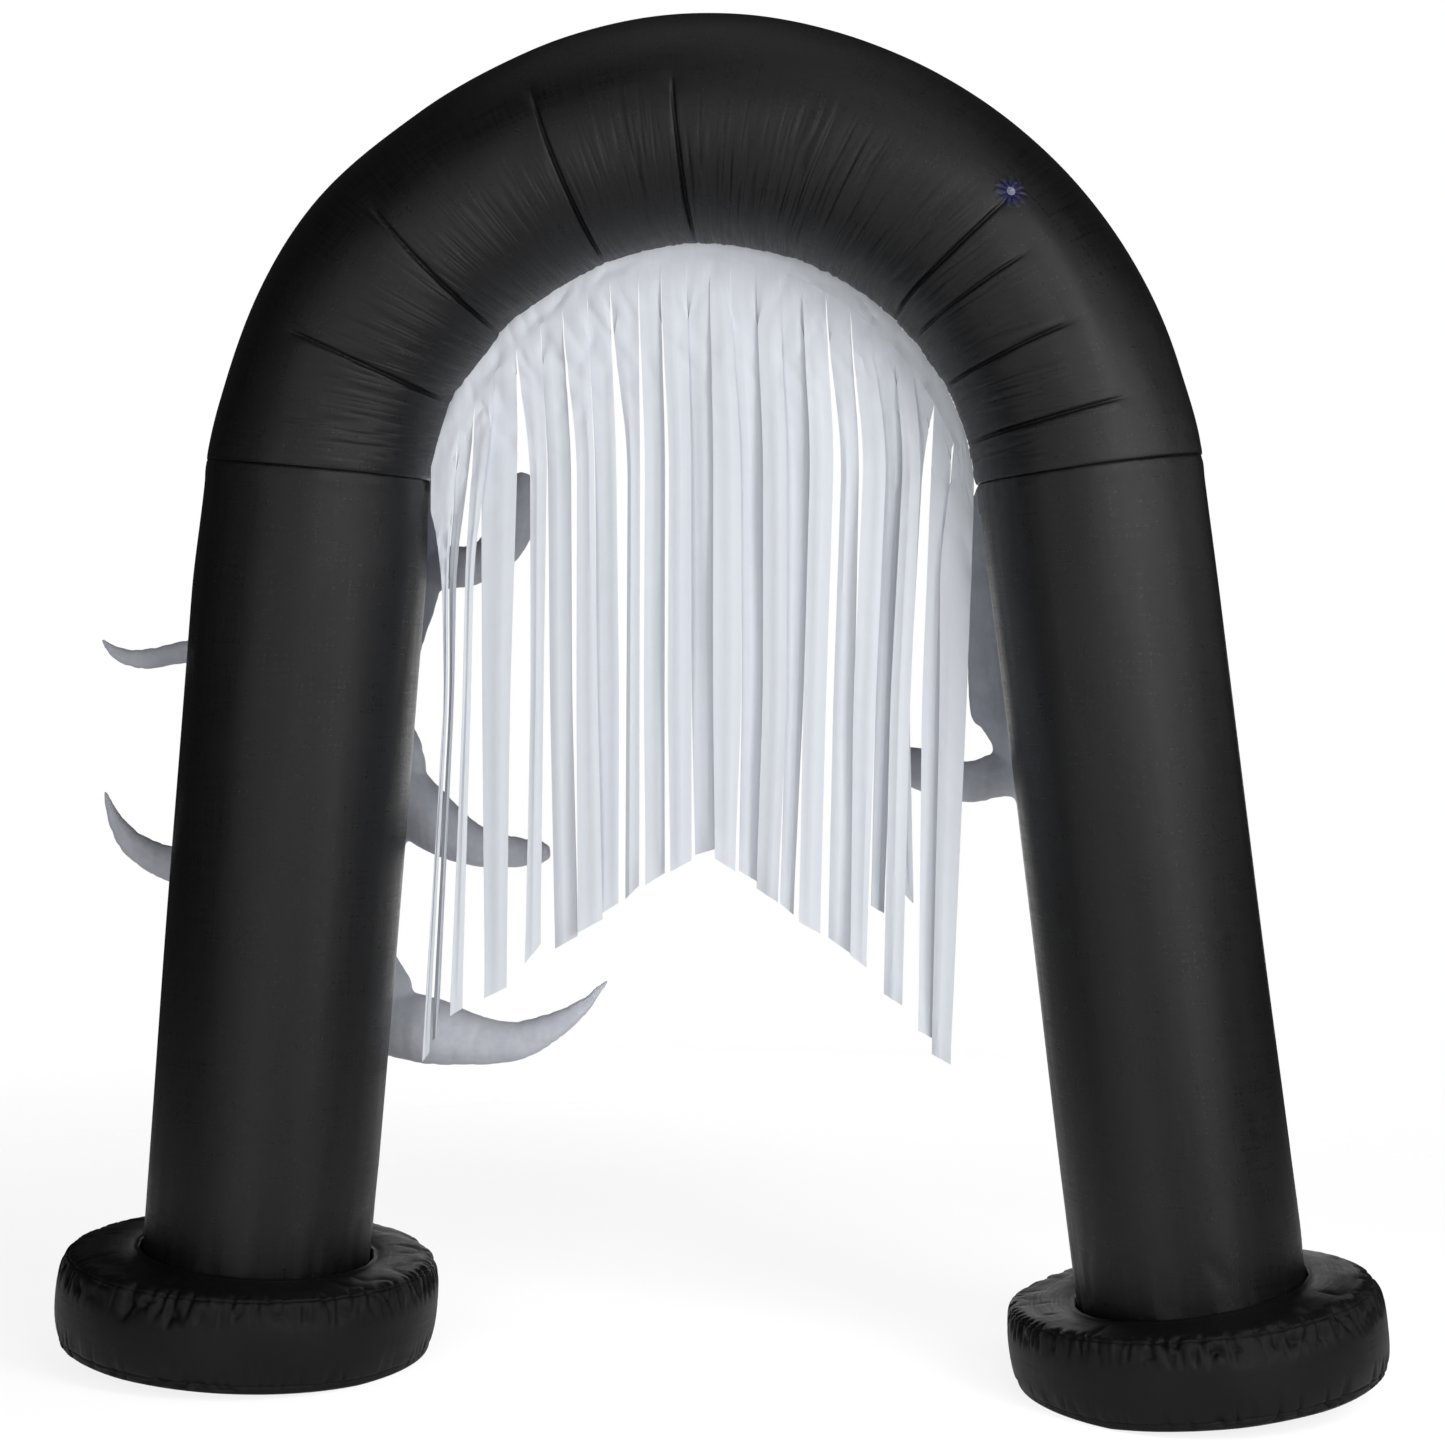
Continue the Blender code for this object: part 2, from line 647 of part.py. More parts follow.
def build_figure(name, stations, limbs, back_y, finish, group, cutters):
    """One inflated figure: its body and its limbs joined into one solid."""
    item = place_mesh(name, body_form(stations, back_y), finish, group)
    for limb_name, limb_stations in limbs:
        limb = place_mesh(f"{name}_{limb_name}", limb_form(limb_stations), finish, cutters)
        limb.hide_render = True
        limb.display_type = "WIRE"
        join = item.modifiers.new(limb_name, "BOOLEAN")
        join.operation = "UNION"
        join.solver = "EXACT"
        join.object = limb
    return item


def tube_side_middle(angle, round_angle):
    """Middle of one flat side of the top tube at a station, at an angle round from its outer line."""
    side = math.radians(round_angle)
    normal = bend_outward(angle) * math.cos(side) + Vector((0.0, math.sin(side), 0.0))
    return bend_centre(angle) + normal * (tube_radius(angle) * FLAT_SIDE)


def build_lamp(finish, group):
    """Small clear dome, turned from half its profile and seated on one side of the tube."""
    outline = bmesh.new()
    quarter = [0.5 * math.pi * (1.0 - step / LAMP_RINGS) for step in range(LAMP_RINGS + 1)]
    profile = [(LAMP_RADIUS * math.cos(turn), LAMP_HEIGHT * math.sin(turn)) for turn in quarter]
    profile[0] = (0.0, LAMP_HEIGHT)
    profile[-1] = (LAMP_RADIUS, 0.0)
    profile.append((0.0, 0.0))
    points = [outline.verts.new((x, 0.0, z)) for x, z in profile]
    for upper, lower in zip(points, points[1:]):
        outline.edges.new((upper, lower))
    item = place_mesh("led_light", outline, finish, group)
    spin = item.modifiers.new("turn", "SCREW")
    spin.steps = LAMP_STEPS
    spin.render_steps = LAMP_STEPS
    spin.use_merge_vertices = True
    spin.merge_threshold = 0.00001
    below = tube_side_middle(LAMP_ANGLE - LAMP_HALF_SPAN, LAMP_ROUND)
    above = tube_side_middle(LAMP_ANGLE + LAMP_HALF_SPAN, LAMP_ROUND)
    side = math.radians(LAMP_ROUND)
    around = Vector((0.0, math.cos(side), 0.0)) - bend_outward(LAMP_ANGLE) * math.sin(side)
    normal = around.cross(above - below).normalized()
    item.location = below.lerp(above, 0.5) + normal * SEAT_GAP
    item.rotation_mode = "QUATERNION"
    item.rotation_quaternion = normal.to_track_quat("Z", "Y")
    return item


def build_tab(finish, group):
    """Bare sewn-in tab that lies along the inner side of the right leg's seam."""
    form = bmesh.new()
    bmesh.ops.create_cube(form, size=1.0)
    for vertex in form.verts:
        height = TAB_TOP + (vertex.co.z - 0.5) * TAB_LENGTH
        leg_side = leg_centre_x(LEG_RIGHT, height) - leg_radius(LEG_RIGHT, height) * FLAT_SIDE
        outer_x = leg_side - SEAT_GAP
        vertex.co = Vector((outer_x + (vertex.co.x - 0.5) * TAB_THICKNESS,
                            TAB_Y + vertex.co.y * TAB_WIDTH, height))
    return place_mesh("side_tab", form, finish, group)


def main():
    """Build every piece of the arch."""
    clear_scene()
    group = new_collection("inflatable_arch")
    cutters = new_collection("joining_forms")
    black = new_material("black_cloth")
    base = new_material("black_base_cloth")
    white = new_material("white_streamer")
    pale = new_material("pale_cloth")
    build_leg("leg_left", LEG_LEFT, black, group)
    build_leg("leg_right", LEG_RIGHT, black, group)
    build_arch_top(black, group)
    build_ring("base_ring_left", LEG_LEFT, RING_LEFT, RING_FOLDS_LEFT, base, group)
    build_ring("base_ring_right", LEG_RIGHT, RING_RIGHT, RING_FOLDS_RIGHT, base, group)
    build_curtain(white, group)
    left_back = LEG_LEFT["radius"] * FLAT_SIDE + SEAT_GAP
    right_back = LEG_RIGHT["radius"] * FLAT_SIDE + SEAT_GAP
    build_figure("figure_left_upper", BODY_LEFT_UPPER,
                 (("arm", ARM_LEFT_UPPER), ("horn", HORN_LEFT_UPPER)),
                 left_back, pale, group, cutters)
    build_figure("figure_left_lower", BODY_LEFT_LOWER,
                 (("arm", ARM_LEFT_LOWER), ("horn", HORN_LEFT_LOWER), ("tail", TAIL_LEFT_LOWER)),
                 left_back, pale, group, cutters)
    build_figure("figure_right", BODY_RIGHT, (("arm", ARM_RIGHT),),
                 right_back, pale, group, cutters)
    build_lamp(new_material("clear_lamp"), group)
    build_tab(new_material("beige_tab"), group)


if __name__ == "__main__":
    main()
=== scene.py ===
"""Looks of the walk-through inflatable arch: its black skins, base rings, streamers and figures.

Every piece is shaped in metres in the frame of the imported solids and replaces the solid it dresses.
The plain back of the arch looks along -Y, towards the camera.
"""

import logging
import math
from dataclasses import dataclass
from enum import Enum
from typing import Callable

import bmesh
import bpy
import numpy as np
from mathutils import Matrix, Vector

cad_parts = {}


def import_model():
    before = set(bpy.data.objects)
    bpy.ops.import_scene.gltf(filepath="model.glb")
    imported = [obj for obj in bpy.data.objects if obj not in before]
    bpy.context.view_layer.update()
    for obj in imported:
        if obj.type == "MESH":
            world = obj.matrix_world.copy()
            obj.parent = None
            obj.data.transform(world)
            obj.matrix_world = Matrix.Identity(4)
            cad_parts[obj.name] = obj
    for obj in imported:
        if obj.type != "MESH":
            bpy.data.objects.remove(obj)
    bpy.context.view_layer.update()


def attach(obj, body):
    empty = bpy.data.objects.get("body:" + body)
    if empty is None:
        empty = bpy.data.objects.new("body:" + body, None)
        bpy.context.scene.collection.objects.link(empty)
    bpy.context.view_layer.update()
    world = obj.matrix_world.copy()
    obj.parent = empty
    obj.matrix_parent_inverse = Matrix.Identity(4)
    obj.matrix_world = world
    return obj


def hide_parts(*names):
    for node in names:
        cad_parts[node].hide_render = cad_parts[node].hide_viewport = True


LOG = logging.getLogger("inflatable_arch")
Array = np.ndarray
CLOTH_MAP = "cloth"
SHADE_NAME = "shade"
SKIN_SHARE = 0.9957
MERGE_DISTANCE = 0.00002
HALF_FACET = math.pi / 24.0


class Seam(Enum):
    """How the flat grid of a skin is closed when it is wrapped."""

    OPEN = "open"
    TUBE = "tube"
    RING = "ring"


def ease(low: float, high: float, value: Array) -> Array:
    """Rise smoothly from 0 at low to 1 at high."""
    share = np.clip((value - low) / (high - low), 0.0, 1.0)
    return share * share * (3.0 - 2.0 * share)


def hump(value: Array, centre: float, half_width: float) -> Array:
    """Soft bell of height 1 about a centre."""
    return np.exp(-(((value - centre) / half_width) ** 2))


def eased_table(rows: tuple, value: Array) -> Array:
    """Read a two-column table smoothly between its rows.

    Args:
        rows: Pairs of place and amount, their places rising.
        value: Places to read at.

    Returns:
        The amounts there.
    """
    places, amounts = np.array(rows, float).T
    index = np.clip(np.searchsorted(places, value, side="right") - 1, 0, len(places) - 2)
    share = ease(0.0, 1.0, (value - places[index]) / (places[index + 1] - places[index]))
    return amounts[index] + (amounts[index + 1] - amounts[index]) * share


def between(rows: list[Array], share: Array) -> Array:
    """Smooth step from the second to the third of four neighbouring rows, by a share of 0 to 1."""
    t = share[:, None]
    p0, p1, p2, p3 = rows
    return 0.5 * (2.0 * p1 + (p2 - p0) * t + (2.0 * p0 - 5.0 * p1 + 4.0 * p2 - p3) * t ** 2
                  + (3.0 * p1 - p0 - 3.0 * p2 + p3) * t ** 3)


def closed_curve(rows: Array, place: Array) -> Array:
    """Smooth closed curve through rows of numbers.

    Args:
        rows: One row for each point of the curve, in order.
        place: Places along it, 0 to 1 for one whole turn.

    Returns:
        One row of numbers for each place.
    """
    count = len(rows)
    at = np.mod(place, 1.0) * count
    index = np.floor(at).astype(int)
    return between([rows[(index + step) % count] for step in (-1, 0, 1, 2)], at - index)


def open_curve(rows: Array, place: Array) -> Array:
    """Smooth open curve through rows of numbers, 0 to 1 from the first row to the last."""
    last = len(rows) - 1
    at = np.clip(place, 0.0, 1.0) * last
    index = np.minimum(np.floor(at).astype(int), last - 1)
    near = [rows[np.clip(index + step, 0, last)] for step in (-1, 0, 1, 2)]
    return between(near, at - index)


@dataclass(frozen=True)
class SoftNoise:
    """Smooth seeded unevenness over two coordinates, from -1 to 1, one cell to each unit."""

    seed: int
    around: int = 256
    cells: int = 256

    def __call__(self, x: Array, y: Array) -> Array:
        """Read the unevenness at places x and y, counted in cells; it repeats each around in x."""
        table = np.random.default_rng(self.seed).uniform(-1.0, 1.0, (self.around, self.cells))
        left, low = np.floor(x).astype(int), np.floor(y).astype(int)
        across, up = ease(0.0, 1.0, x - left), ease(0.0, 1.0, y - low)
        i, j = left % self.around, low % self.cells
        i_next, j_next = (i + 1) % self.around, (j + 1) % self.cells
        bottom = table[i, j] * (1.0 - across) + table[i_next, j] * across
        top = table[i, j_next] * (1.0 - across) + table[i_next, j_next] * across
        return bottom * (1.0 - up) + top * up

    def lines(self, x: Array, y: Array, sharpness: float = 3.0) -> Array:
        """Thin wandering lines of height 1 where the unevenness passes zero."""
        return np.clip(1.0 - sharpness * np.abs(self(x, y)), 0.0, 1.0) ** 1.5

    def turned(self, turn: Array, y: Array, sharpness: float) -> Array:
        """The lines round a tube, whose turn is in radians and closes on itself."""
        return self.lines(turn / (2.0 * np.pi) * self.around, y, sharpness)


@dataclass
class Skin:
    """One cloth skin, a flat grid of quads that a function puts in place.

    Attributes:
        name: Name of the mesh.
        across: Quads across the cloth.
        along: Quads along the cloth.
        place: Gives points for shares across and along, each 0 to 1.
        cloth: Width and length of the cloth in metres, for its weave.
        seam: How the grid is closed.
        shade: Gives a tone of painted shade for each place, 0 for plain.
    """

    name: str
    across: int
    along: int
    place: Callable[[Array, Array], Array]
    cloth: tuple[float, float]
    seam: Seam = Seam.TUBE
    shade: Callable[[Array, Array], Array] | None = None

    def mesh(self) -> bpy.types.Mesh:
        """Shape the grid, give it its cloth map, and close its seams and ends.

        Returns:
            The finished mesh, its faces outwards.
        """
        form = bmesh.new()
        bmesh.ops.create_grid(form, x_segments=self.across, y_segments=self.along, size=0.5)
        mesh = bpy.data.meshes.new(self.name)
        form.to_mesh(mesh)
        form.free()
        flat = np.empty(len(mesh.vertices) * 3, np.float32)
        mesh.vertices.foreach_get("co", flat)
        flat = flat.reshape(-1, 3)
        u = np.clip(flat[:, 0].astype(float) + 0.5, 0.0, 1.0)
        v = np.clip(flat[:, 1].astype(float) + 0.5, 0.0, 1.0)
        points = self.place(u, v).astype(np.float32)
        mesh.vertices.foreach_set("co", points.ravel())
        corner = np.empty(len(mesh.loops), np.int32)
        mesh.loops.foreach_get("vertex_index", corner)
        layer = mesh.uv_layers.new(name=CLOTH_MAP)
        where = np.stack([u * self.cloth[0], v * self.cloth[1]], axis=1)[corner]
        layer.uv.foreach_set("vector", where.astype(np.float32).ravel())
        tones = mesh.attributes.new(SHADE_NAME, "FLOAT", "POINT")
        if self.shade is not None:
            tones.data.foreach_set("value", self.shade(u, v).astype(np.float32))
        if self.seam is not Seam.OPEN:
            self._close(mesh)
        mesh.update()
        mesh.shade_smooth()
        return mesh

    def _close(self, mesh: bpy.types.Mesh) -> None:
        """Merge the seam, fill the open ends of a tube and turn the faces outwards."""
        form = bmesh.new()
        form.from_mesh(mesh)
        bmesh.ops.remove_doubles(form, verts=form.verts, dist=MERGE_DISTANCE)
        rims = [edge for edge in form.edges if edge.is_boundary]
        if self.seam is Seam.TUBE and rims:
            bmesh.ops.holes_fill(form, edges=rims, sides=0)
        bmesh.ops.recalc_face_normals(form, faces=form.faces)
        form.to_mesh(mesh)
        form.free()


def joined(name: str, meshes: list[bpy.types.Mesh]) -> bpy.types.Mesh:
    """Join meshes into one and merge the points that they share.

    Args:
        name: Name of the joined mesh.
        meshes: Meshes to join, which are removed.

    Returns:
        The joined mesh.
    """
    form = bmesh.new()
    for mesh in meshes:
        form.from_mesh(mesh)
        bpy.data.meshes.remove(mesh)
    bmesh.ops.remove_doubles(form, verts=form.verts, dist=MERGE_DISTANCE)
    for face in form.faces:
        face.smooth = True
    for edge in form.edges:
        edge.smooth = not edge.is_boundary
    whole = bpy.data.meshes.new(name)
    form.to_mesh(whole)
    form.free()
    return whole


def linked(name: str, data: bpy.types.ID) -> bpy.types.Object:
    """Make an object of its data in the scene."""
    made = bpy.data.objects.new(name, data)
    bpy.context.scene.collection.objects.link(made)
    return made


def thicken(piece: bpy.types.Object, thickness: float) -> None:
    """Give a cloth its thickness, half on each side."""
    cloth = piece.modifiers.new("cloth", "SOLIDIFY")
    cloth.thickness = thickness
    cloth.offset = 0.0


def dress(name: str, mesh: bpy.types.Mesh, finish: bpy.types.Material, slot: str,
          *nodes: str) -> bpy.types.Object:
    """Make a piece of a mesh, give it its finish and let it stand for its solids.

    Args:
        name: Name of the piece.
        mesh: Its finished mesh, in place.
        finish: Its material.
        slot: The record's material slot; not used.
        nodes: The solids that it replaces.

    Returns:
        The piece.
    """
    mesh.materials.clear()
    mesh.materials.append(finish)
    piece = linked(name, mesh)
    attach(piece, "root")
    if nodes:
        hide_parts(*nodes)
    LOG.info("%s: %d faces, finish %s", name, len(mesh.polygons), finish.name)
    return piece


class Wire:
    """One socket of a finish; Python's operators on it add Math nodes."""

    def __init__(self, tree: bpy.types.NodeTree, socket: bpy.types.NodeSocket) -> None:
        """Wrap an output socket of a node tree."""
        self.tree = tree
        self.socket = socket

    def _math(self, operation: str, first: "Wire | float", second: "Wire | float") -> "Wire":
        """Add a Math node on two values."""
        node = self.tree.nodes.new("ShaderNodeMath")
        node.operation = operation
        for socket, value in zip(node.inputs, (first, second)):
            if isinstance(value, Wire):
                self.tree.links.new(value.socket, socket)
            else:
                socket.default_value = value
        return Wire(self.tree, node.outputs[0])

    def __add__(self, other: "Wire | float") -> "Wire":
        """Sum."""
        return self._math("ADD", self, other)

    def __radd__(self, other: float) -> "Wire":
        """Sum, reflected."""
        return self._math("ADD", other, self)

    def __sub__(self, other: "Wire | float") -> "Wire":
        """Difference."""
        return self._math("SUBTRACT", self, other)

    def __rsub__(self, other: float) -> "Wire":
        """Difference, reflected."""
        return self._math("SUBTRACT", other, self)

    def __mul__(self, other: "Wire | float") -> "Wire":
        """Product."""
        return self._math("MULTIPLY", self, other)

    def __rmul__(self, other: float) -> "Wire":
        """Product, reflected."""
        return self._math("MULTIPLY", other, self)

    def __truediv__(self, other: "Wire | float") -> "Wire":
        """Quotient."""
        return self._math("DIVIDE", self, other)

    def __rtruediv__(self, other: float) -> "Wire":
        """Quotient, reflected."""
        return self._math("DIVIDE", other, self)

    def __pow__(self, other: "Wire | float") -> "Wire":
        """Power."""
        return self._math("POWER", self, other)

    def above_zero(self) -> "Wire":
        """The value where it is over 0, and else 0."""
        return self._math("MAXIMUM", self, 0.0)


class Recipe:
    """A material built up node by node, ending in one Principled shader."""

    def __init__(self, name: str) -> None:
        """Start an empty material with its output and shader."""
        self.material = bpy.data.materials.new(name)
        self.material.use_nodes = True
        self.tree = self.material.node_tree
        self.tree.nodes.clear()
        self.shader = self.tree.nodes.new("ShaderNodeBsdfPrincipled")
        output = self.tree.nodes.new("ShaderNodeOutputMaterial")
        self.tree.links.new(self.shader.outputs[0], output.inputs[0])

    def node(self, kind: str, settings: dict | None = None,
             inputs: dict | None = None) -> list[Wire]:
        """Add any node.

        Args:
            kind: The node's type.
            settings: Its own settings, which are set first.
            inputs: Values or wires for its sockets, by name or number.

        Returns:
            One wire for each of its outputs.
        """
        made = self.tree.nodes.new(kind)
        for key, value in (settings or {}).items():
            setattr(made, key, value)
        for key, value in (inputs or {}).items():
            if isinstance(value, Wire):
                self.tree.links.new(value.socket, made.inputs[key])
            else:
                made.inputs[key].default_value = value
        return [Wire(self.tree, socket) for socket in made.outputs]

    def feed(self, **values: "Wire | float | tuple") -> None:
        """Set or link the shader's own sockets, their names with _ for each space."""
        for key, value in values.items():
            socket = self.shader.inputs[key.replace("_", " ")]
            if isinstance(value, Wire):
                self.tree.links.new(value.socket, socket)
            else:
                socket.default_value = value

    def maths(self, operation: str, *inputs: "Wire | float") -> Wire:
        """Value of a Math node."""
        return self.node("ShaderNodeMath", {"operation": operation}, dict(enumerate(inputs)))[0]

    def vector(self, operation: str, *inputs: "Wire | tuple") -> list[Wire]:
        """Vector and value of a Vector Math node."""
        return self.node("ShaderNodeVectorMath", {"operation": operation}, dict(enumerate(inputs)))

    def clamped(self, value: Wire) -> Wire:
        """The value kept from 0 to 1."""
        return self.node("ShaderNodeClamp", {}, {0: value})[0]

    def cloth_map(self) -> Wire:
        """Place on the flat cloth in metres."""
        return self.node("ShaderNodeUVMap", {"uv_map": CLOTH_MAP})[0]

    def parts(self, vector: Wire) -> list[Wire]:
        """The three numbers of a vector."""
        return self.node("ShaderNodeSeparateXYZ", {}, {0: vector})

    def weave(self, u: Wire, v: Wire, pitch: float) -> Wire:
        """Crossed threads of a plain weave, from 0 to 1."""
        turn = 2.0 * math.pi / pitch
        return self.maths("SINE", u * turn) * self.maths("SINE", v * turn) * 0.5 + 0.5

    def noise(self, vector: Wire, scale: float, detail: float = 2.0) -> Wire:
        """Even noise about 0.5 over a vector."""
        return self.node("ShaderNodeTexNoise", {},
                         {"Vector": vector, "Scale": scale, "Detail": detail})[0]

    def stretched(self, x: Wire, y: Wire, x_scale: float, y_scale: float) -> Wire:
        """A flat vector with its own scale each way."""
        return self.node("ShaderNodeCombineXYZ", {}, {0: x * x_scale, 1: y * y_scale})[0]

    def mixed(self, share: "Wire | float", first: "Wire | tuple",
              second: "Wire | tuple") -> Wire:
        """Mix two colours by a share."""
        return self.node("ShaderNodeMix", {"data_type": "RGBA"}, {0: share, 6: first, 7: second})[2]

    def bumped(self, height: Wire, distance: float) -> Wire:
        """Normal of a relief of a height times a distance in metres."""
        return self.node("ShaderNodeBump", {}, {"Strength": 1.0, "Distance": distance,
                                                "Height": height})[0]


@dataclass(frozen=True)
class BlackNylon:
    """Black woven nylon skin: thread streaks both ways, a soft sheen, a faint slub and, near a lamp, a
    painted violet glow.

    Attributes:
        name: Name of the material.
        dark: Darker colour of the cloth's streaks, weave and patches.
        light: Lighter colour of the cloth's streaks, weave and patches.
        roughness: Mean roughness.
        specular: Strength of its reflections.
        glow_at: Place of a lamp whose violet light is painted into the cloth's colour nearby, if there
            is one.
    """

    name: str
    dark: tuple = (0.0033, 0.0033, 0.0038, 1.0)
    light: tuple = (0.0072, 0.0073, 0.0084, 1.0)
    roughness: float = 0.33
    specular: float = 0.37
    fine_pitch: float = 0.0011
    slub_pitch: float = 0.0060
    slub_length: float = 0.120
    relief: float = 0.0004
    glow: tuple = (0.018, 0.014, 0.115, 1.0)
    glow_reach: float = 0.034
    glow_at: tuple | None = None
    glow_axes: tuple = ()
    crease_count: float = 10.0
    crease_depth: float = 0.0030

    def make(self) -> bpy.types.Material:
        """Build the material."""
        recipe = Recipe(self.name)
        cloth = recipe.cloth_map()
        u, v, _ = recipe.parts(cloth)
        warp = recipe.noise(recipe.stretched(u, v, 1.0 / self.slub_pitch, 1.0 / self.slub_length), 1.0)
        weft = recipe.noise(recipe.stretched(u, v, 1.0 / self.slub_length, 1.0 / self.slub_pitch), 1.0)
        weave = recipe.weave(u, v, self.fine_pitch)
        slub = warp * 0.5 + weft * 0.5
        patches = recipe.noise(cloth, 9.0, 3.0)
        tone = (slub - 0.5) * 2.2 + weave * 0.25 + (patches - 0.5) * 0.8 + 0.4
        colour = recipe.mixed(tone, self.dark, self.light)
        if self.glow_at is not None:
            place = recipe.node("ShaderNodeTexCoord")[3]
            away = recipe.vector("DISTANCE", place, self.glow_at)[1]
            # Painted light: the lamp's violet glow is painted into the cloth's colour, strongest at the
            # lamp and gone at glow_reach.
            tint = (1.0 - away / self.glow_reach).above_zero() ** 1.3
            colour = recipe.mixed(tint, colour, self.glow)
        height = slub * 0.7 + weave * 0.3
        if self.glow_at is not None:
            height = height + self._creases(recipe, place, away) * (self.crease_depth / self.relief)
        recipe.feed(Base_Color=colour, Roughness=(slub - 0.5) * 0.5 + self.roughness,
                    Normal=recipe.bumped(height, self.relief),
                    Specular_IOR_Level=self.specular)
        return recipe.material

    def _creases(self, recipe: Recipe, place: Wire, away: Wire) -> Wire:
        """Small creases that run out from the lamp, from 0 to 1 high."""
        off = recipe.vector("SUBTRACT", place, self.glow_at)[0]
        sides = [recipe.vector("DOT_PRODUCT", off, axis)[1] for axis in self.glow_axes]
        round_it = recipe.maths("ARCTAN2", *sides)
        uneven = recipe.noise(off, 60.0, 1.0) * 7.0
        star = recipe.maths("SINE", round_it * self.crease_count + uneven)
        start = recipe.clamped((away - 0.007) / 0.008)
        gone = recipe.clamped((0.036 - away) / 0.024)
        return (star * 0.5 + 0.5) * start * gone


@dataclass(frozen=True)
class WhiteStreamer:
    """Thin bluish-white cloth: fine weave, faint press lines, and painted shade from the cut's shade
    attribute.
    """

    name: str = "white_streamer"
    light: tuple = (0.85, 0.885, 0.95, 1.0)
    dark: tuple = (0.55, 0.58, 0.63, 1.0)
    pitch: float = 0.0010
    relief: float = 0.0006

    def make(self) -> bpy.types.Material:
        """Build the material."""
        recipe = Recipe(self.name)
        cloth = recipe.cloth_map()
        u, v, _ = recipe.parts(cloth)
        # Painted shade: the shade attribute darkens whole strips, their folds and the band under the
        # tube.
        shade = recipe.node("ShaderNodeAttribute", {"attribute_name": SHADE_NAME})[2]
        weave = recipe.weave(u, v, self.pitch)
        hang = recipe.noise(recipe.stretched(u, v, 90.0, 4.0), 1.0)
        press = recipe.noise(recipe.stretched(u, v, 12.0, 26.0), 1.0, 3.0)
        tone = shade + (hang - 0.5) * 0.22 + (press - 0.5) * 0.14 + (weave - 0.5) * 0.05
        recipe.feed(Base_Color=recipe.mixed(tone, self.light, self.dark),
                    Roughness=0.74 + (press - 0.5) * 0.2,
                    Normal=recipe.bumped(hang * 0.6 + press * 0.3 + weave * 0.1, self.relief),
                    Specular_IOR_Level=0.25, Sheen_Weight=0.1)
        return recipe.material


@dataclass(frozen=True)
class PaleNylon:
    """White nylon that hangs in shade: lavender grey, which is partly painted shade, softly puckered,
    with a fine weave, and painted shade behind each leg.
    """

    name: str = "pale_cloth"
    light: tuple = (0.88, 0.90, 0.97, 1.0)
    dark: tuple = (0.64, 0.66, 0.76, 1.0)
    shaded: tuple = (0.23, 0.235, 0.29, 1.0)
    shade_band_x: float = 0.71
    shade_band_reach: float = 0.14
    pitch: float = 0.0012
    relief: float = 0.0010

    def make(self) -> bpy.types.Material:
        """Build the material."""
        recipe = Recipe(self.name)
        place = recipe.node("ShaderNodeTexCoord")[3]
        x, _, z = recipe.parts(place)
        weave = recipe.weave(x, z, self.pitch)
        patches = recipe.noise(place, 14.0, 3.0)
        fine = recipe.noise(place, 90.0, 3.0)
        tone = (patches - 0.5) * 1.2 + (fine - 0.5) * 0.5 + weave * 0.1 + 0.35
        colour = recipe.mixed(tone, self.light, self.dark)
        # Painted shade: a darker band where the figure lies behind a leg, above 1.24 m, mixed towards
        # the shaded colour.
        off = recipe.maths("ABSOLUTE", recipe.maths("ABSOLUTE", x) - self.shade_band_x)
        high = recipe.clamped((z - 1.24) / 0.10)
        behind = (1.0 - off / self.shade_band_reach).above_zero() ** 0.6 * high
        recipe.feed(Base_Color=recipe.mixed(behind, colour, self.shaded),
                    Roughness=0.66 + (patches - 0.5) * 0.3,
                    Normal=recipe.bumped(fine * 0.7 + weave * 0.3, self.relief),
                    Specular_IOR_Level=0.3, Sheen_Weight=0.15)
        return recipe.material


@dataclass(frozen=True)
class ClearLamp:
    """Clear domed lamp over a faint violet light, brighter towards its middle."""

    name: str = "clear_lamp"
    rim: tuple = (0.16, 0.17, 0.24, 1.0)
    heart: tuple = (0.55, 0.58, 0.62, 1.0)
    centre: tuple = (0.0, 0.0, 0.0)
    reach: float = 0.010

    def make(self) -> bpy.types.Material:
        """Build the material."""
        recipe = Recipe(self.name)
        place = recipe.node("ShaderNodeTexCoord")[3]
        away = recipe.vector("DISTANCE", place, self.centre)[1]
        heart = (1.0 - away / self.reach).above_zero()
        grain = recipe.noise(place, 400.0)
        colour = recipe.mixed(heart, self.rim, self.heart)
        recipe.feed(Base_Color=colour, Emission_Color=colour, Emission_Strength=0.18,
                    Roughness=0.12 + grain * 0.1, Coat_Weight=0.6, Coat_Roughness=0.05)
        return recipe.material


@dataclass(frozen=True)
class BeigeRibbon:
    """Bare beige ribbon with a fine rib across it."""

    name: str = "beige_tab"
    light: tuple = (0.40, 0.375, 0.35, 1.0)
    dark: tuple = (0.30, 0.28, 0.26, 1.0)
    pitch: float = 0.0009

    def make(self) -> bpy.types.Material:
        """Build the material."""
        recipe = Recipe(self.name)
        cloth = recipe.cloth_map()
        rib = recipe.maths("SINE", recipe.parts(cloth)[1] * (2.0 * math.pi / self.pitch))
        tone = rib * 0.25 + 0.5 + (recipe.noise(cloth, 120.0) - 0.5) * 0.5
        recipe.feed(Base_Color=recipe.mixed(tone, self.light, self.dark), Roughness=0.8,
                    Normal=recipe.bumped(rib, 0.0002))
        return recipe.material


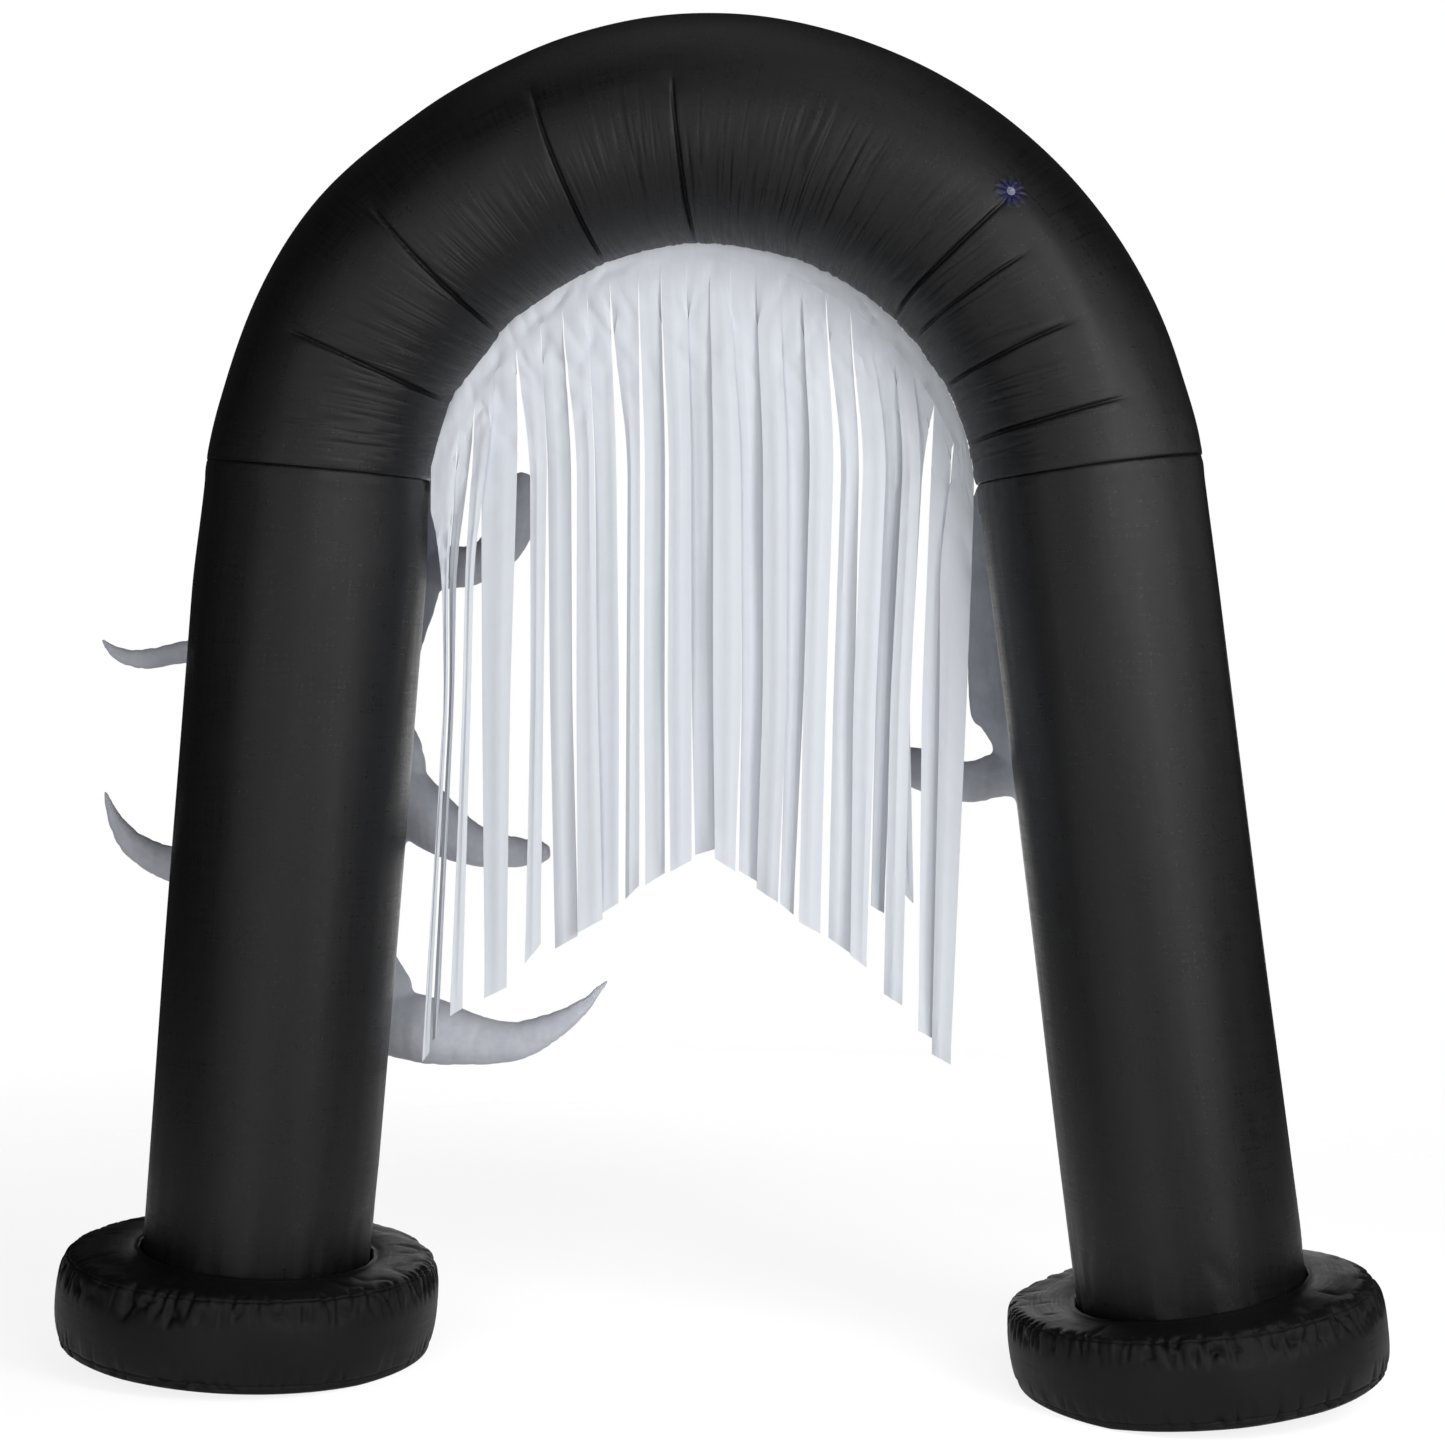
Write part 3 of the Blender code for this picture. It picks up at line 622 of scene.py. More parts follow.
@dataclass(frozen=True)
class Bend:
    """Centreline and width of the bent top tube, by degrees from the right spring."""

    spring_height: float = 1.835
    centre_x: float = -0.032
    half_span: float = 0.785
    rise: float = 0.6825
    flatness: float = 0.88
    shoulder_dip: float = 0.008
    shoulder_span: tuple = (96.0, 118.0, 128.0, 146.0)
    tilt_right: float = 7.7
    tilt_left: float = 5.0
    tilt_reach: float = 12.0
    radii: tuple = ((0.0, 0.2270), (12.0, 0.2235), (62.0, 0.2235), (90.0, 0.2284), (104.0, 0.2262),
                    (128.0, 0.2245), (150.0, 0.2330), (170.0, 0.2264), (180.0, 0.2300))

    def reach(self, angle: Array) -> Array:
        """Distance of the centreline from the middle of the bend."""
        height = np.clip(np.sin(np.radians(angle)), 0.0, 1.0) ** self.flatness
        start, full, fading, end = self.shoulder_span
        dip = self.shoulder_dip * ease(start, full, angle) * (1.0 - ease(fading, end, angle))
        return self.half_span - (self.half_span - self.rise) * height - dip

    def centre(self, angle: Array) -> Array:
        """Points of the centreline."""
        turn, reach = np.radians(angle), self.reach(angle)
        return np.stack([self.centre_x + reach * np.cos(turn), np.zeros_like(turn),
                         self.spring_height + reach * np.sin(turn)], axis=-1)

    def outward(self, angle: Array) -> Array:
        """Directions out through the tube in the plane of its sections."""
        tilt_right = self.tilt_right * (1.0 - ease(0.0, self.tilt_reach, angle))
        tilt_left = self.tilt_left * ease(180.0 - self.tilt_reach, 180.0, angle)
        turn = np.radians(angle + tilt_right - tilt_left)
        return np.stack([np.cos(turn), np.zeros_like(turn), np.sin(turn)], axis=-1)

    def radius(self, angle: Array) -> Array:
        """Radius of the tube."""
        return eased_table(self.radii, angle)


@dataclass(frozen=True)
class Dart:
    """One tuck of the top tube: where it starts inside, where it ends, and how deep it is.

    Angles are degrees from the right spring; reach is how far round the tube it runs from the
    inner line, in degrees; depth is in metres.
    """

    inner: float
    outer: float
    depth: float
    reach: float


@dataclass(frozen=True)
class TopTube:
    """The bent top tube with its darts, radial wrinkles and lamp."""

    bend: Bend
    darts: tuple[Dart, ...] = (
        Dart(3.1, 4.8, 0.006, 60.0), Dart(6.0, 8.4, 0.014, 112.0), Dart(17.8, 19.8, 0.012, 99.0),
        Dart(30.0, 31.5, 0.008, 99.0), Dart(36.6, 39.3, 0.014, 112.0),
        Dart(90.0, 91.8, 0.012, 104.0), Dart(114.6, 112.7, 0.014, 115.0),
        Dart(146.2, 140.8, 0.016, 113.0), Dart(165.2, 161.4, 0.014, 108.0))
    across: int = 90
    along: int = 1080
    bulge: float = 0.0045
    wrinkle_depth: float = 0.0032
    wrinkle_pitch: float = 0.0080
    wrinkle_radius: float = 0.60
    wrinkle_run: float = 0.120
    wrinkle_levels: tuple = ((0.0, 0.6), (12.0, 1.0), (28.0, 1.0), (45.0, 1.0), (60.0, 1.1),
                             (95.0, 1.1), (108.0, 0.6), (128.0, 0.7), (150.0, 0.8), (172.0, 0.9),
                             (180.0, 0.6))
    header_gap: float = 0.0003
    lamp_angle: float = 39.7
    lamp_round: float = -62.8

    def drawn_in(self, angle: Array, turn: Array) -> Array:
        """How far the skin is drawn in from the plain tube.

        Args:
            angle: Degrees along the bend from the right spring.
            turn: Degrees round the tube from its outer line, below 0 at the back.

        Returns:
            Distances inwards in metres.
        """
        radius = self.bend.radius(angle)
        from_inner = 180.0 - np.abs(turn)
        swing = self.bend.reach(angle) + radius * np.cos(np.radians(turn))
        near_side = np.where(turn < 0.0, 1.0, -1.0)
        depth = np.zeros_like(angle)
        for index, dart in enumerate(self.darts):
            share = from_inner / dart.reach
            wander = 0.14 * np.sin(5.0 * share * near_side + 1.7 * index)
            line = dart.inner + (dart.outer - dart.inner) * np.clip(share, 0.0, 1.3) + wander
            gap = np.radians(angle - line) * swing
            shown = 0.15 + 0.85 * ease(0.0, 38.0, from_inner)
            held = shown * np.cos(0.5 * np.pi * np.clip(share, 0.0, 1.0)) ** 0.8
            depth += 0.6 * dart.depth * held * np.exp(-np.abs(gap) / 0.0052)
            seam_end = 1.0 - ease(0.93, 1.03, share)
            depth += (0.0024 + 0.30 * dart.depth) * shown * seam_end * hump(gap, 0.0, 0.0030)
            pit = np.radians(from_inner - dart.reach) * radius
            depth += 0.22 * dart.depth * np.exp(-(gap / 0.016) ** 2 - (pit / 0.022) ** 2)
        places = np.array([0.0] + [0.5 * (d.inner + d.outer) for d in self.darts] + [180.0])
        index = np.clip(np.searchsorted(places, angle, side="right") - 1, 0, len(places) - 2)
        span = places[index + 1] - places[index]
        middle = np.sin(np.pi * np.clip((angle - places[index]) / span, 0.0, 1.0))
        inside = np.cos(np.radians(np.clip(from_inner, 0.0, 100.0) * 0.9)) ** 2
        depth -= self.bulge * inside * middle * np.clip(span / 22.0, 0.2, 1.0)
        up = np.radians(from_inner) * radius
        off_seam = ease(0.0, 3.0, np.minimum(angle, 180.0 - angle))
        depth += self._wrinkles(angle, up * near_side, up) * off_seam
        round_it = np.radians(turn)
        depth += 0.0012 * SoftNoise(8)(angle / 9.0 + 3.0 * np.cos(round_it), 3.0 * np.sin(round_it))
        shoulder = ease(1.0, 8.0, angle) * (1.0 - ease(34.0, 42.0, angle))
        depth -= 0.0045 * shoulder * hump(turn, -74.0 + 0.25 * angle, 9.0)
        seam = np.radians(np.minimum(angle, 180.0 - angle)) * swing
        depth += 0.0018 * np.exp(-seam / 0.0042)
        gathers = SoftNoise(12, around=128).turned(round_it, angle / 4.0, 3.0)
        depth += 0.0012 * gathers * np.exp(-seam / 0.040)
        return depth

    def _wrinkles(self, angle: Array, place: Array, up: Array) -> Array:
        """Radial wrinkles, which run up from the inner line and fade out past the middle."""
        along = np.radians(angle) * self.wrinkle_radius / self.wrinkle_pitch
        level = eased_table(self.wrinkle_levels, angle)
        level = level * (1.0 - ease(0.24, 0.43, up + 0.04 * SoftNoise(9)(angle / 4.0, 0.0 * up)))
        patches = 0.80 + 0.40 * SoftNoise(4)(along / 6.0, place / 0.11)
        fine = SoftNoise(3).lines(along, place / self.wrinkle_run, 2.2)
        broad = SoftNoise(5).lines(along / 2.1, place / 0.18, 2.0)
        soft = 0.4 * SoftNoise(6)(along / 1.2, place / 0.09)
        return self.wrinkle_depth * level * patches * (0.6 * fine + 0.6 * broad + soft)

    def point(self, angle: Array, turn: Array, lift: float = 0.0) -> Array:
        """Points of the skin."""
        size = (self.bend.radius(angle) * SKIN_SHARE - self.drawn_in(angle, turn) + lift)[:, None]
        side = np.radians(turn)[:, None]
        round_it = np.concatenate([np.zeros_like(side), np.sin(side), np.zeros_like(side)], axis=1)
        return self.bend.centre(angle) + size * (self.bend.outward(angle) * np.cos(side) + round_it)

    def place(self, u: Array, v: Array) -> Array:
        """Points for shares round and along, the cloth's seam on the inner line."""
        turn = 360.0 * u - 180.0
        return self.point(180.0 * v, turn)

    def inner_line(self) -> Array:
        """Points just under the skin's inner line, from right to left."""
        angle = np.linspace(0.0, 180.0, 1441)
        return self.point(angle, np.full_like(angle, 180.0), lift=self.header_gap)

    def plain_line(self) -> Array:
        """Points of the inner line of the plain tube, without darts or wrinkles."""
        angle = np.linspace(0.0, 180.0, 181)
        return self.bend.centre(angle) - self.bend.outward(angle) * self.bend.radius(angle)[:, None]

    def lamp_seat(self) -> tuple[Vector, Vector]:
        """Where the lamp sits on the skin, and which way it looks."""
        angle, turn = np.array([self.lamp_angle]), np.array([self.lamp_round])
        side = math.radians(self.lamp_round)
        out = Vector(self.bend.outward(angle)[0]) * math.cos(side) + Vector((0.0, math.sin(side), 0.0))
        return Vector(self.point(angle, turn)[0]), out

    def build(self, finish: bpy.types.Material) -> None:
        """Build and dress the skin."""
        length = math.pi * 0.72
        mesh = Skin("arch_top_skin", self.across, self.along, self.place, (1.42, length)).mesh()
        dress("arch_top_skin", mesh, finish, "black_cloth", "arch_top")


@dataclass(frozen=True)
class Leg:
    """One leaning leg tube, flared at its foot and drawn in at its spring seam."""

    node: str
    bend: Bend
    foot_x: float
    foot_radius: float
    radius: float
    spring_radius: float
    seed: int
    flare: tuple = (0.25, 1.00)
    neck: tuple = (1.58, 1.82)
    foot_rounding: float = 0.040
    across: int = 120
    along: int = 300

    @property
    def side(self) -> float:
        """1 for the right leg and -1 for the left one."""
        return 1.0 if self.foot_x > 0.0 else -1.0

    @property
    def spring_x(self) -> float:
        """Where the leg's middle meets the top tube."""
        return float(self.bend.centre(np.array([90.0 - 90.0 * self.side]))[0, 0])

    def centre_x(self, height: Array) -> Array:
        """Middle of the leg at a height."""
        return self.foot_x + (self.spring_x - self.foot_x) * height / self.bend.spring_height

    def radius_at(self, height: Array) -> Array:
        """Radius of the leg at a height."""
        flare = (self.foot_radius - self.radius) * (1.0 - ease(*self.flare, height))
        neck = (self.radius - self.spring_radius) * ease(*self.neck, height)
        return self.radius + flare - neck

    def relief(self, turn: Array, height: Array) -> Array:
        """How far the skin is drawn in: soft lengthwise unevenness, and gathers at its two ends."""
        top = self.bend.spring_height
        soft = 0.0010 * SoftNoise(self.seed, around=20)(turn / (2.0 * np.pi) * 20.0, height / 0.45)
        long_folds = 0.0009 * SoftNoise(self.seed + 1, around=34).turned(turn, height / 0.9, 1.6)
        lip = 0.0018 * np.exp(-(top - height) / 0.0042) - 0.0010 * hump(height, top - 0.022, 0.012)
        gathers = SoftNoise(self.seed + 2, around=118).turned(turn, height / 0.05, 3.0)
        drawn = 0.0017 * gathers * np.exp(-(top - height) / 0.045)
        foot = SoftNoise(self.seed + 3, around=49).turned(turn, height / 0.12, 2.0)
        bunched = 0.0035 * foot * (1.0 - ease(0.20, 0.42, height))
        return soft + long_folds + lip + drawn + bunched

    def place(self, u: Array, v: Array) -> Array:
        """Points for shares round and up; the top edge lies in the plane of the spring seam."""
        turn = 2.0 * np.pi * u
        height = v * (self.bend.spring_height - 0.0006)
        rounding = np.clip(1.0 - height / self.foot_rounding, 0.0, 1.0)
        inset = self.foot_rounding * (1.0 - np.sqrt(1.0 - rounding ** 2))
        rise = self.bend.outward(np.array([90.0 - 90.0 * self.side]))[0]
        lean = abs(self.foot_x - self.spring_x) / self.bend.spring_height
        slope = rise[2] / (abs(rise[0]) + lean * rise[2]) * ease(0.86, 1.0, v)
        out = (self.radius_at(height) * SKIN_SHARE - inset - self.relief(turn, height)) * np.cos(turn)
        level = height + slope * out
        size = self.radius_at(level) * SKIN_SHARE - inset - self.relief(turn, height)
        return np.stack([self.centre_x(level) + self.side * out, size * np.sin(turn), level], axis=1)

    def build(self, finish: bpy.types.Material) -> None:
        """Build and dress the skin."""
        name = f"{self.node}_skin"
        size = (2.0 * math.pi * self.radius, self.bend.spring_height)
        mesh = Skin(name, self.across, self.along, self.place, size).mesh()
        dress(name, mesh, finish, "black_cloth", self.node)


@dataclass(frozen=True)
class BaseRing:
    """One fat base ring round a leg's foot, its panels gathered into a top and a bottom seam."""

    node: str
    leg: Leg
    centre_x: float
    radius: float
    crown: float
    top_rise: float
    floor_rise: float
    floor_start: float
    folds: tuple
    seed: int
    around: int = 480
    over: int = 150
    section: tuple = ((0.000, 0.210), (0.000, 0.900), (0.110, 0.975), (0.400, 1.000),
                      (0.720, 0.975), (0.880, 0.930), (0.955, 0.845), (0.990, 0.690),
                      (1.000, 0.450), (0.985, 0.220), (0.940, 0.075), (0.840, 0.000),
                      (0.220, 0.000), (0.070, 0.055))
    top_seam: float = 5.2
    bottom_seam: float = 9.9

    def gathers(self, turn: Array, row: Array, height: Array) -> Array:
        """How far the skin is drawn in by its seams, gathers and folds."""
        band = ease(3.9, 4.9, row) * (1.0 - ease(6.2, 7.5, row))
        fine = SoftNoise(self.seed, around=200).turned(turn, row / 2.6 + 4.0, 1.9)
        wide = SoftNoise(self.seed + 1, around=73).turned(turn, row / 2.2, 2.4)
        share = turn / (2.0 * np.pi)
        uneven = 0.65 + 0.35 * SoftNoise(self.seed + 2, around=15)(share * 15.0, row * 0.0)
        drawn = band * uneven * (0.0115 * fine + 0.0050 * wide)
        low_band = ease(8.4, 9.8, row) * (1.0 - ease(10.2, 10.9, row))
        ticks = SoftNoise(self.seed + 3, around=112).turned(turn, row / 3.0, 2.4)
        drawn += low_band * uneven * 0.0085 * ticks
        drawn += 0.0036 * hump(row, self.top_seam, 0.07) + 0.0040 * hump(row, self.bottom_seam, 0.08)
        panel = ease(1.6, 2.4, row) * (1.0 - ease(3.8, 4.8, row))
        radial = SoftNoise(self.seed + 4, around=38).turned(turn, row / 2.5, 1.8)
        drawn += panel * 0.0060 * radial
        drawn += 0.0016 * SoftNoise(self.seed + 5, around=22)(share * 22.0, row / 1.4)
        for angle, depth, width, start, stop in self.folds:
            gap = np.mod(np.degrees(turn) - angle + 180.0, 360.0) - 180.0
            shown = ease(start, start + 0.8, row) * (1.0 - ease(stop - 0.9, stop, row))
            drawn += depth * shown * np.exp(-np.abs(gap) / width)
        return drawn * ease(0.0, 0.030, height)

    def place(self, u: Array, v: Array) -> Array:
        """Points for shares round the leg and over the section, the seam of the grid in the floor."""
        turn = 2.0 * np.pi * u
        count = len(self.section)
        share, height_share = closed_curve(np.array(self.section), v).T
        share, height_share = np.clip(share, 0.0, 1.001), np.clip(height_share, 0.0, 1.0)
        row = np.mod(v, 1.0) * count
        facing = self.leg.side * np.cos(turn)
        floor_rise = self.floor_rise * np.maximum(0.0, facing - self.floor_start)
        height = (self.crown + self.top_rise * facing) * height_share
        height += floor_rise * share * (1.0 - height_share)
        off = np.mod(turn + HALF_FACET, 2.0 * HALF_FACET) - HALF_FACET
        inner = self.leg.radius_at(height) * math.cos(HALF_FACET) / np.cos(off) + 0.0008
        inner_x = self.leg.centre_x(height) + inner * np.cos(turn)
        lean = self.leg.centre_x(height) - self.leg.centre_x(0.5 * self.crown)
        outer_x = self.centre_x + lean + self.radius * np.cos(turn)
        x = inner_x + (outer_x - inner_x) * share
        y = (inner + (self.radius - inner) * share) * np.sin(turn)
        drawn = self.gathers(turn, row, height) * ease(0.25, 0.6, share)
        low = ease(0.35, 0.75, height_share)
        x = x - np.cos(turn) * drawn * (1.0 - 0.55 * ease(0.9, 0.99, height_share))
        y = y - np.sin(turn) * drawn * (1.0 - 0.55 * ease(0.9, 0.99, height_share))
        return np.stack([x, y, np.maximum(0.0, height - 0.55 * drawn * low)], axis=1)

    def build(self, finish: bpy.types.Material) -> None:
        """Build and dress the skin."""
        name = f"{self.node}_skin"
        size = (2.0 * math.pi * self.radius, 0.86)
        mesh = Skin(name, self.around, self.over, self.place, size, Seam.RING).mesh()
        dress(name, mesh, finish, "black_base_cloth", self.node)


@dataclass(frozen=True)
class Streamers:
    """The streamer curtain: one cloth, its header sewn inside the top tube, slit into strips.

    Each strip's row gives, in millimetres, its root's right edge, its left and right edge at an
    upper height and that height, its edges at mid height, its foot's left and right corner and
    their heights, then its layer, the side folded behind, a tone of painted shade and where a crease
    lies.
    """

    tube: TopTube
    left_x: float = -0.582
    sight: tuple = (0.70, -5.53)
    header_middle: float = 0.032
    header_side: float = 0.085
    half_length: float = 0.56
    mid_height: float = 1.370
    layer_step: float = 0.009
    across: int = 10
    along: int = 104
    header_rows: int = 5
    front_quads: int = 7
    crisp_angle: float = 30.0
    lowest_foot: float = 0.618
    thickness: float = 0.0011
    strips: tuple = (
        (-526, -560, -545, 1650, -554, -546, -600, -586, 618, 636, 0, 1, 0.10, 0.5),
        (-490, -543, -528, 1650, -542, -533, -579, -566, 658, 668, 2, -1, 0.15, 0.5),
        (-448, -510, -492, 1650, -515, -498, -541, -516, 716, 730, -1, 1, 0.0, 0.5),
        (-405, -477, -401, 1875, -475, -416, -468, -423, 751, 773, 1, 1, 0.0, 0.64),
        (-355, -376, -341, 1875, -374, -347, -384, -352, 826, 866, 0, 1, 0.05, 0.4),
        (-310, -339, -291, 1875, -333, -287, -321, -273, 856, 884, 1, -1, 0.0, 0.3),
        (-259, -279, -244, 1875, -279, -235, -274, -223, 892, 920, -1, 1, 0.0, 0.75),
        (-213, -242, -198, 1875, -236, -190, -232, -190, 926, 953, 1, 1, 0.10, 0.8),
        (-154, -174, -149, 1875, -175, -148, -176, -147, 962, 991, 0, -1, 0.0, 0.3),
        (-109, -139, -98, 1875, -140, -97, -134, -95, 991, 1015, 1, 1, 0.05, 0.7),
        (-56, -90, -45, 1875, -91, -42, -83, -40, 1021, 1044, -1, 1, 0.0, 0.45),
        (-9, -46, 1, 1875, -41, 10, -32, 12, 1054, 1068, 1, -1, 0.05, 0.6),
        (32, 0, 56, 1875, 2, 60, 8, 49, 1050, 1024, -1, 1, 0.0, 0.5),
        (85, 56, 103, 1875, 61, 106, 57, 96, 1024, 1000, 1, 1, 0.05, 0.35),
        (132, 102, 150, 1875, 104, 153, 93, 137, 989, 963, -1, -1, 0.0, 0.6),
        (178, 149, 198, 1875, 150, 186, 142, 168, 958, 935, 1, 1, 0.08, 0.7),
        (225, 197, 245, 1875, 186, 232, 180, 223, 924, 900, -1, 1, 0.0, 0.4),
        (275, 261, 296, 1875, 247, 290, 240, 288, 890, 858, 1, -1, 0.0, 0.3),
        (320, 305, 351, 1875, 287, 332, 285, 317, 858, 834, -1, 1, 0.05, 0.65),
        (364, 347, 387, 1875, 332, 366, 326, 352, 957, 941, 1, 1, 0.55, 0.5),
        (403, 385, 421, 1875, 362, 402, 353, 391, 780, 759, -1, -1, 0.0, 0.4),
        (445, 396, 424, 1875, 366, 400, 396, 412, 980, 962, 2, 1, 0.45, 0.5),
        (485, 441, 479, 1875, 425, 463, 424, 455, 706, 688, 1, 1, 0.0, 0.7),
        (525, 459, 523, 1655, 461, 515, 451, 489, 660, 641, -1, -1, 0.05, 0.3))

    @staticmethod
    def height_on(line: Array, x: Array) -> Array:
        """Height of a line of points over places x."""
        order = np.argsort(line[:, 0])
        return np.interp(x, line[order, 0], line[order, 2])

    def header_top(self, x: Array) -> Array:
        """Height of the sewn edge at a place."""
        return self.height_on(self.tube.inner_line(), x)

    def root_height(self, x: Array) -> Array:
        """Height where the strips part from the header."""
        deeper = (self.header_side - self.header_middle) * (x / self.half_length) ** 2
        return self.height_on(self.tube.plain_line(), x) - self.header_middle - deeper

    def in_sight(self, x: Array, y: Array) -> Array:
        """Where x lies off the middle plane so that it looks the same from the standing place."""
        return x + (x - self.sight[0]) * y / -self.sight[1]

    def crumple(self, x: Array, z: Array) -> Array:
        """Slanting creases of the upper cloth, which fade out further down."""
        down = self.height_on(self.tube.plain_line(), x) - z
        slant = SoftNoise(33).lines((x + 0.7 * z) / 0.040, (z - 0.7 * x) / 0.11, 1.6)
        other = SoftNoise(34).lines((x - 0.5 * z) / 0.055, (z + 0.5 * x) / 0.13, 1.6)
        side = 0.5 + 0.5 * ease(0.05, 0.35, np.abs(x))
        return 0.0060 * side * (slant + other - 0.6) * (1.0 - ease(0.12, 0.46, down))

    def strip_mesh(self, index: int, root_left: float) -> bpy.types.Mesh:
        """Shape one strip from its root to its foot.

        Args:
            index: Number of the strip from the left.
            root_left: Left edge of its root in metres.

        Returns:
            The strip's mesh.
        """
        row = self.strips[index]
        (root, up_l, up_r, up_z, mid_l, mid_r, foot_l, foot_r, foot_lz,
         foot_rz) = (number / 1000.0 for number in row[:10])
        layer, turned_to, tone, crease = row[10:]
        width = root - root_left
        tops = [float(self.root_height(np.array([x]))[0]) for x in (root_left, root)]
        noise = SoftNoise(40 + index)
        front = self.front_quads / self.across
        fold_at = round(self.front_quads * crease) / self.across
        if turned_to < 0:
            fold_at += 1.0 - front

        def edge(left: bool, height: Array) -> tuple[Array, Array]:
            """Place x and y of one edge by height."""
            top, foot_z = (tops[0], foot_lz) if left else (tops[1], foot_rz)
            start = root_left if left else root
            upper, mid, foot = (up_l, mid_l, foot_l) if left else (up_r, mid_r, foot_r)
            first_z = top + (up_z - top) * 0.35
            first_x = start + 0.25 * (upper - start)
            heights = [foot_z, 0.5 * (foot_z + self.mid_height), self.mid_height, up_z, first_z, top]
            places = [foot, 0.5 * (foot + mid), mid, upper, first_x, start]
            levels = [1.0, 1.0, 1.0, 1.0, 0.45, 0.0]
            steps = [-0.06, -0.03, 0.0, 0.03, 0.06]
            x = sum(np.interp(height + step, heights, places) for step in steps) / len(steps)
            level = sum(np.interp(height + step, heights, levels) for step in steps) / len(steps)
            free = ease(0.0, 0.05, top - height)
            return np.interp(height, heights, places) * (1.0 - free) + x * free, level * free

        def place(u: Array, v: Array) -> Array:
            """Points for shares across and down the strip."""
            heights = []
            sides = []
            for left in (True, False):
                top, foot_z = (tops[0], foot_lz) if left else (tops[1], foot_rz)
                height = top + (foot_z - top) * v
                heights.append(height)
                sides.append(edge(left, height))
            level = sides[0][1]
            shown = np.clip((sides[1][0] - sides[0][0]) / width, 0.45, 0.93)
            flat = front + (shown - front) * level
            rest = np.minimum(1.0 - flat, 0.95 * flat)
            roll = np.pi * ease(0.05, 0.75, level)
            across = u if turned_to > 0 else 1.0 - u
            back = np.maximum(across - front, 0.0) / (1.0 - front) * rest
            reach = np.minimum(across / front, 1.0) * flat + back * np.cos(roll)
            reach = reach / (flat + rest * np.maximum(0.0, np.cos(roll)))
            share = reach if turned_to > 0 else 1.0 - reach
            tuck = 0.35 * width * back * np.sin(roll)
            tuck += 0.0026 * level * ease(front, front + 0.1, across)
            middle = self.layer_step * layer * level
            sway = 0.0045 * level * noise(v * 5.0, v * 0.0 + 0.5)
            tilt = 0.0028 * turned_to * level * (0.6 + 0.8 * noise(v * 2.0, v * 0.0 + 7.5))
            y_left = middle - tilt + sway
            y_right = middle + tilt + sway
            slit = 0.0003 * ease(0.0, 0.03, tops[0] - heights[0])
            x_left = self.in_sight(sides[0][0] + slit, y_left)
            x_right = self.in_sight(sides[1][0] - slit, y_right)
            z = heights[0] + (heights[1] - heights[0]) * share
            x = x_left + (x_right - x_left) * share
            y = y_left + (y_right - y_left) * share + tuck
            bow = 0.0016 * noise(v * 3.0 + 9.0, v * 0.0 + 1.5) * (1.0 - (2.0 * u - 1.0) ** 2)
            fold = -0.0030 * np.clip(1.0 - np.abs(u - fold_at) / 0.20, 0.0, 1.0)
            curl = 0.0014 * noise(v * 7.0 + 20.0, v * 0.0 + 2.5) * (2.0 * u - 1.0) ** 3
            crumple = self.crumple(x, z) * ease(0.0, 0.02, tops[0] - z)
            foot_curl = 0.010 * turned_to * ease(0.93, 1.0, v) * (u - 0.5)
            off = level * (bow + fold + curl + foot_curl) + crumple
            return np.stack([x, y + off, z], axis=1)

        def shade(u: Array, v: Array) -> Array:
            """Painted shade of the strip: its tone below the root, deeper along its fold and just under
            the header.
            """
            # Painted shade in the fold's crease, and under the header at the strip's top.
            line = 0.10 * hump(u, fold_at, 0.06) * ease(0.05, 0.3, v)
            return tone * ease(0.02, 0.30, v) + line + 0.08 * hump(v, 0.0, 0.03)

        size = (width, 0.5 * (tops[0] + tops[1] - foot_lz - foot_rz))
        return Skin(f"strip_{index}", self.across, self.along, place, size, Seam.OPEN, shade).mesh()

    def header_mesh(self) -> bpy.types.Mesh:
        """Shape the header band from the sewn edge to the roots of the strips."""
        edges = [self.left_x] + [row[0] / 1000.0 for row in self.strips]

        def place(u: Array, v: Array) -> Array:
            """Points for shares across and down the band."""
            at = u * (len(edges) - 1)
            x = np.interp(at, np.arange(len(edges)), edges)
            low = self.root_line(x, edges)
            top = self.header_top(x)
            z = top + (low - top) * v
            ripple = np.sin(np.pi * v) * (0.0016 * SoftNoise(31)(x / 0.03, v) + self.crumple(x, z))
            return np.stack([x, ripple, z], axis=1)

        def shade(u: Array, v: Array) -> Array:
            """Painted shade of the band: a faint even shade, deeper at its sewn edge under the tube."""
            return 0.08 + 0.20 * (1.0 - ease(0.0, 0.4, v))

        size = (edges[-1] - edges[0], self.header_side)
        columns = self.across * len(self.strips)
        return Skin("header", columns, self.header_rows, place, size, Seam.OPEN, shade).mesh()

    def root_line(self, x: Array, edges: list[float]) -> Array:
        """Height of the header's lower edge, straight from each slit to the next."""
        return np.interp(x, edges, self.root_height(np.array(edges)))

    def cut_area(self) -> float:
        """Area of the flat cut, from each strip's root width and length."""
        left = self.left_x
        area = 0.0
        for row in self.strips:
            right = row[0] / 1000.0
            top = float(self.header_top(np.array([0.5 * (left + right)]))[0])
            area += (right - left) * (top - 0.0005 * (row[8] + row[9]))
            left = right
        return area

    def crisp(self, mesh: bpy.types.Mesh) -> None:
        """Mark the folds that are sharper than a soft bend."""
        grid = bmesh.new()
        grid.from_mesh(mesh)
        for edge in grid.edges:
            if len(edge.link_faces) == 2 and edge.calc_face_angle() > math.radians(self.crisp_angle):
                edge.smooth = False
        grid.to_mesh(mesh)
        grid.free()

    def build(self, finish: bpy.types.Material) -> None:
        """Build and dress the curtain as one thin sheet."""
        meshes = [self.header_mesh()]
        left = self.left_x
        for index, row in enumerate(self.strips):
            meshes.append(self.strip_mesh(index, left))
            left = row[0] / 1000.0
        cloth = joined("curtain_cloth", meshes)
        self.crisp(cloth)
        piece = dress("curtain_cloth", cloth, finish, "white_streamer", "curtain")
        thicken(piece, self.thickness)
        top = float(self.header_top(np.array([0.0]))[0])
        round(self.cut_area(), 3)


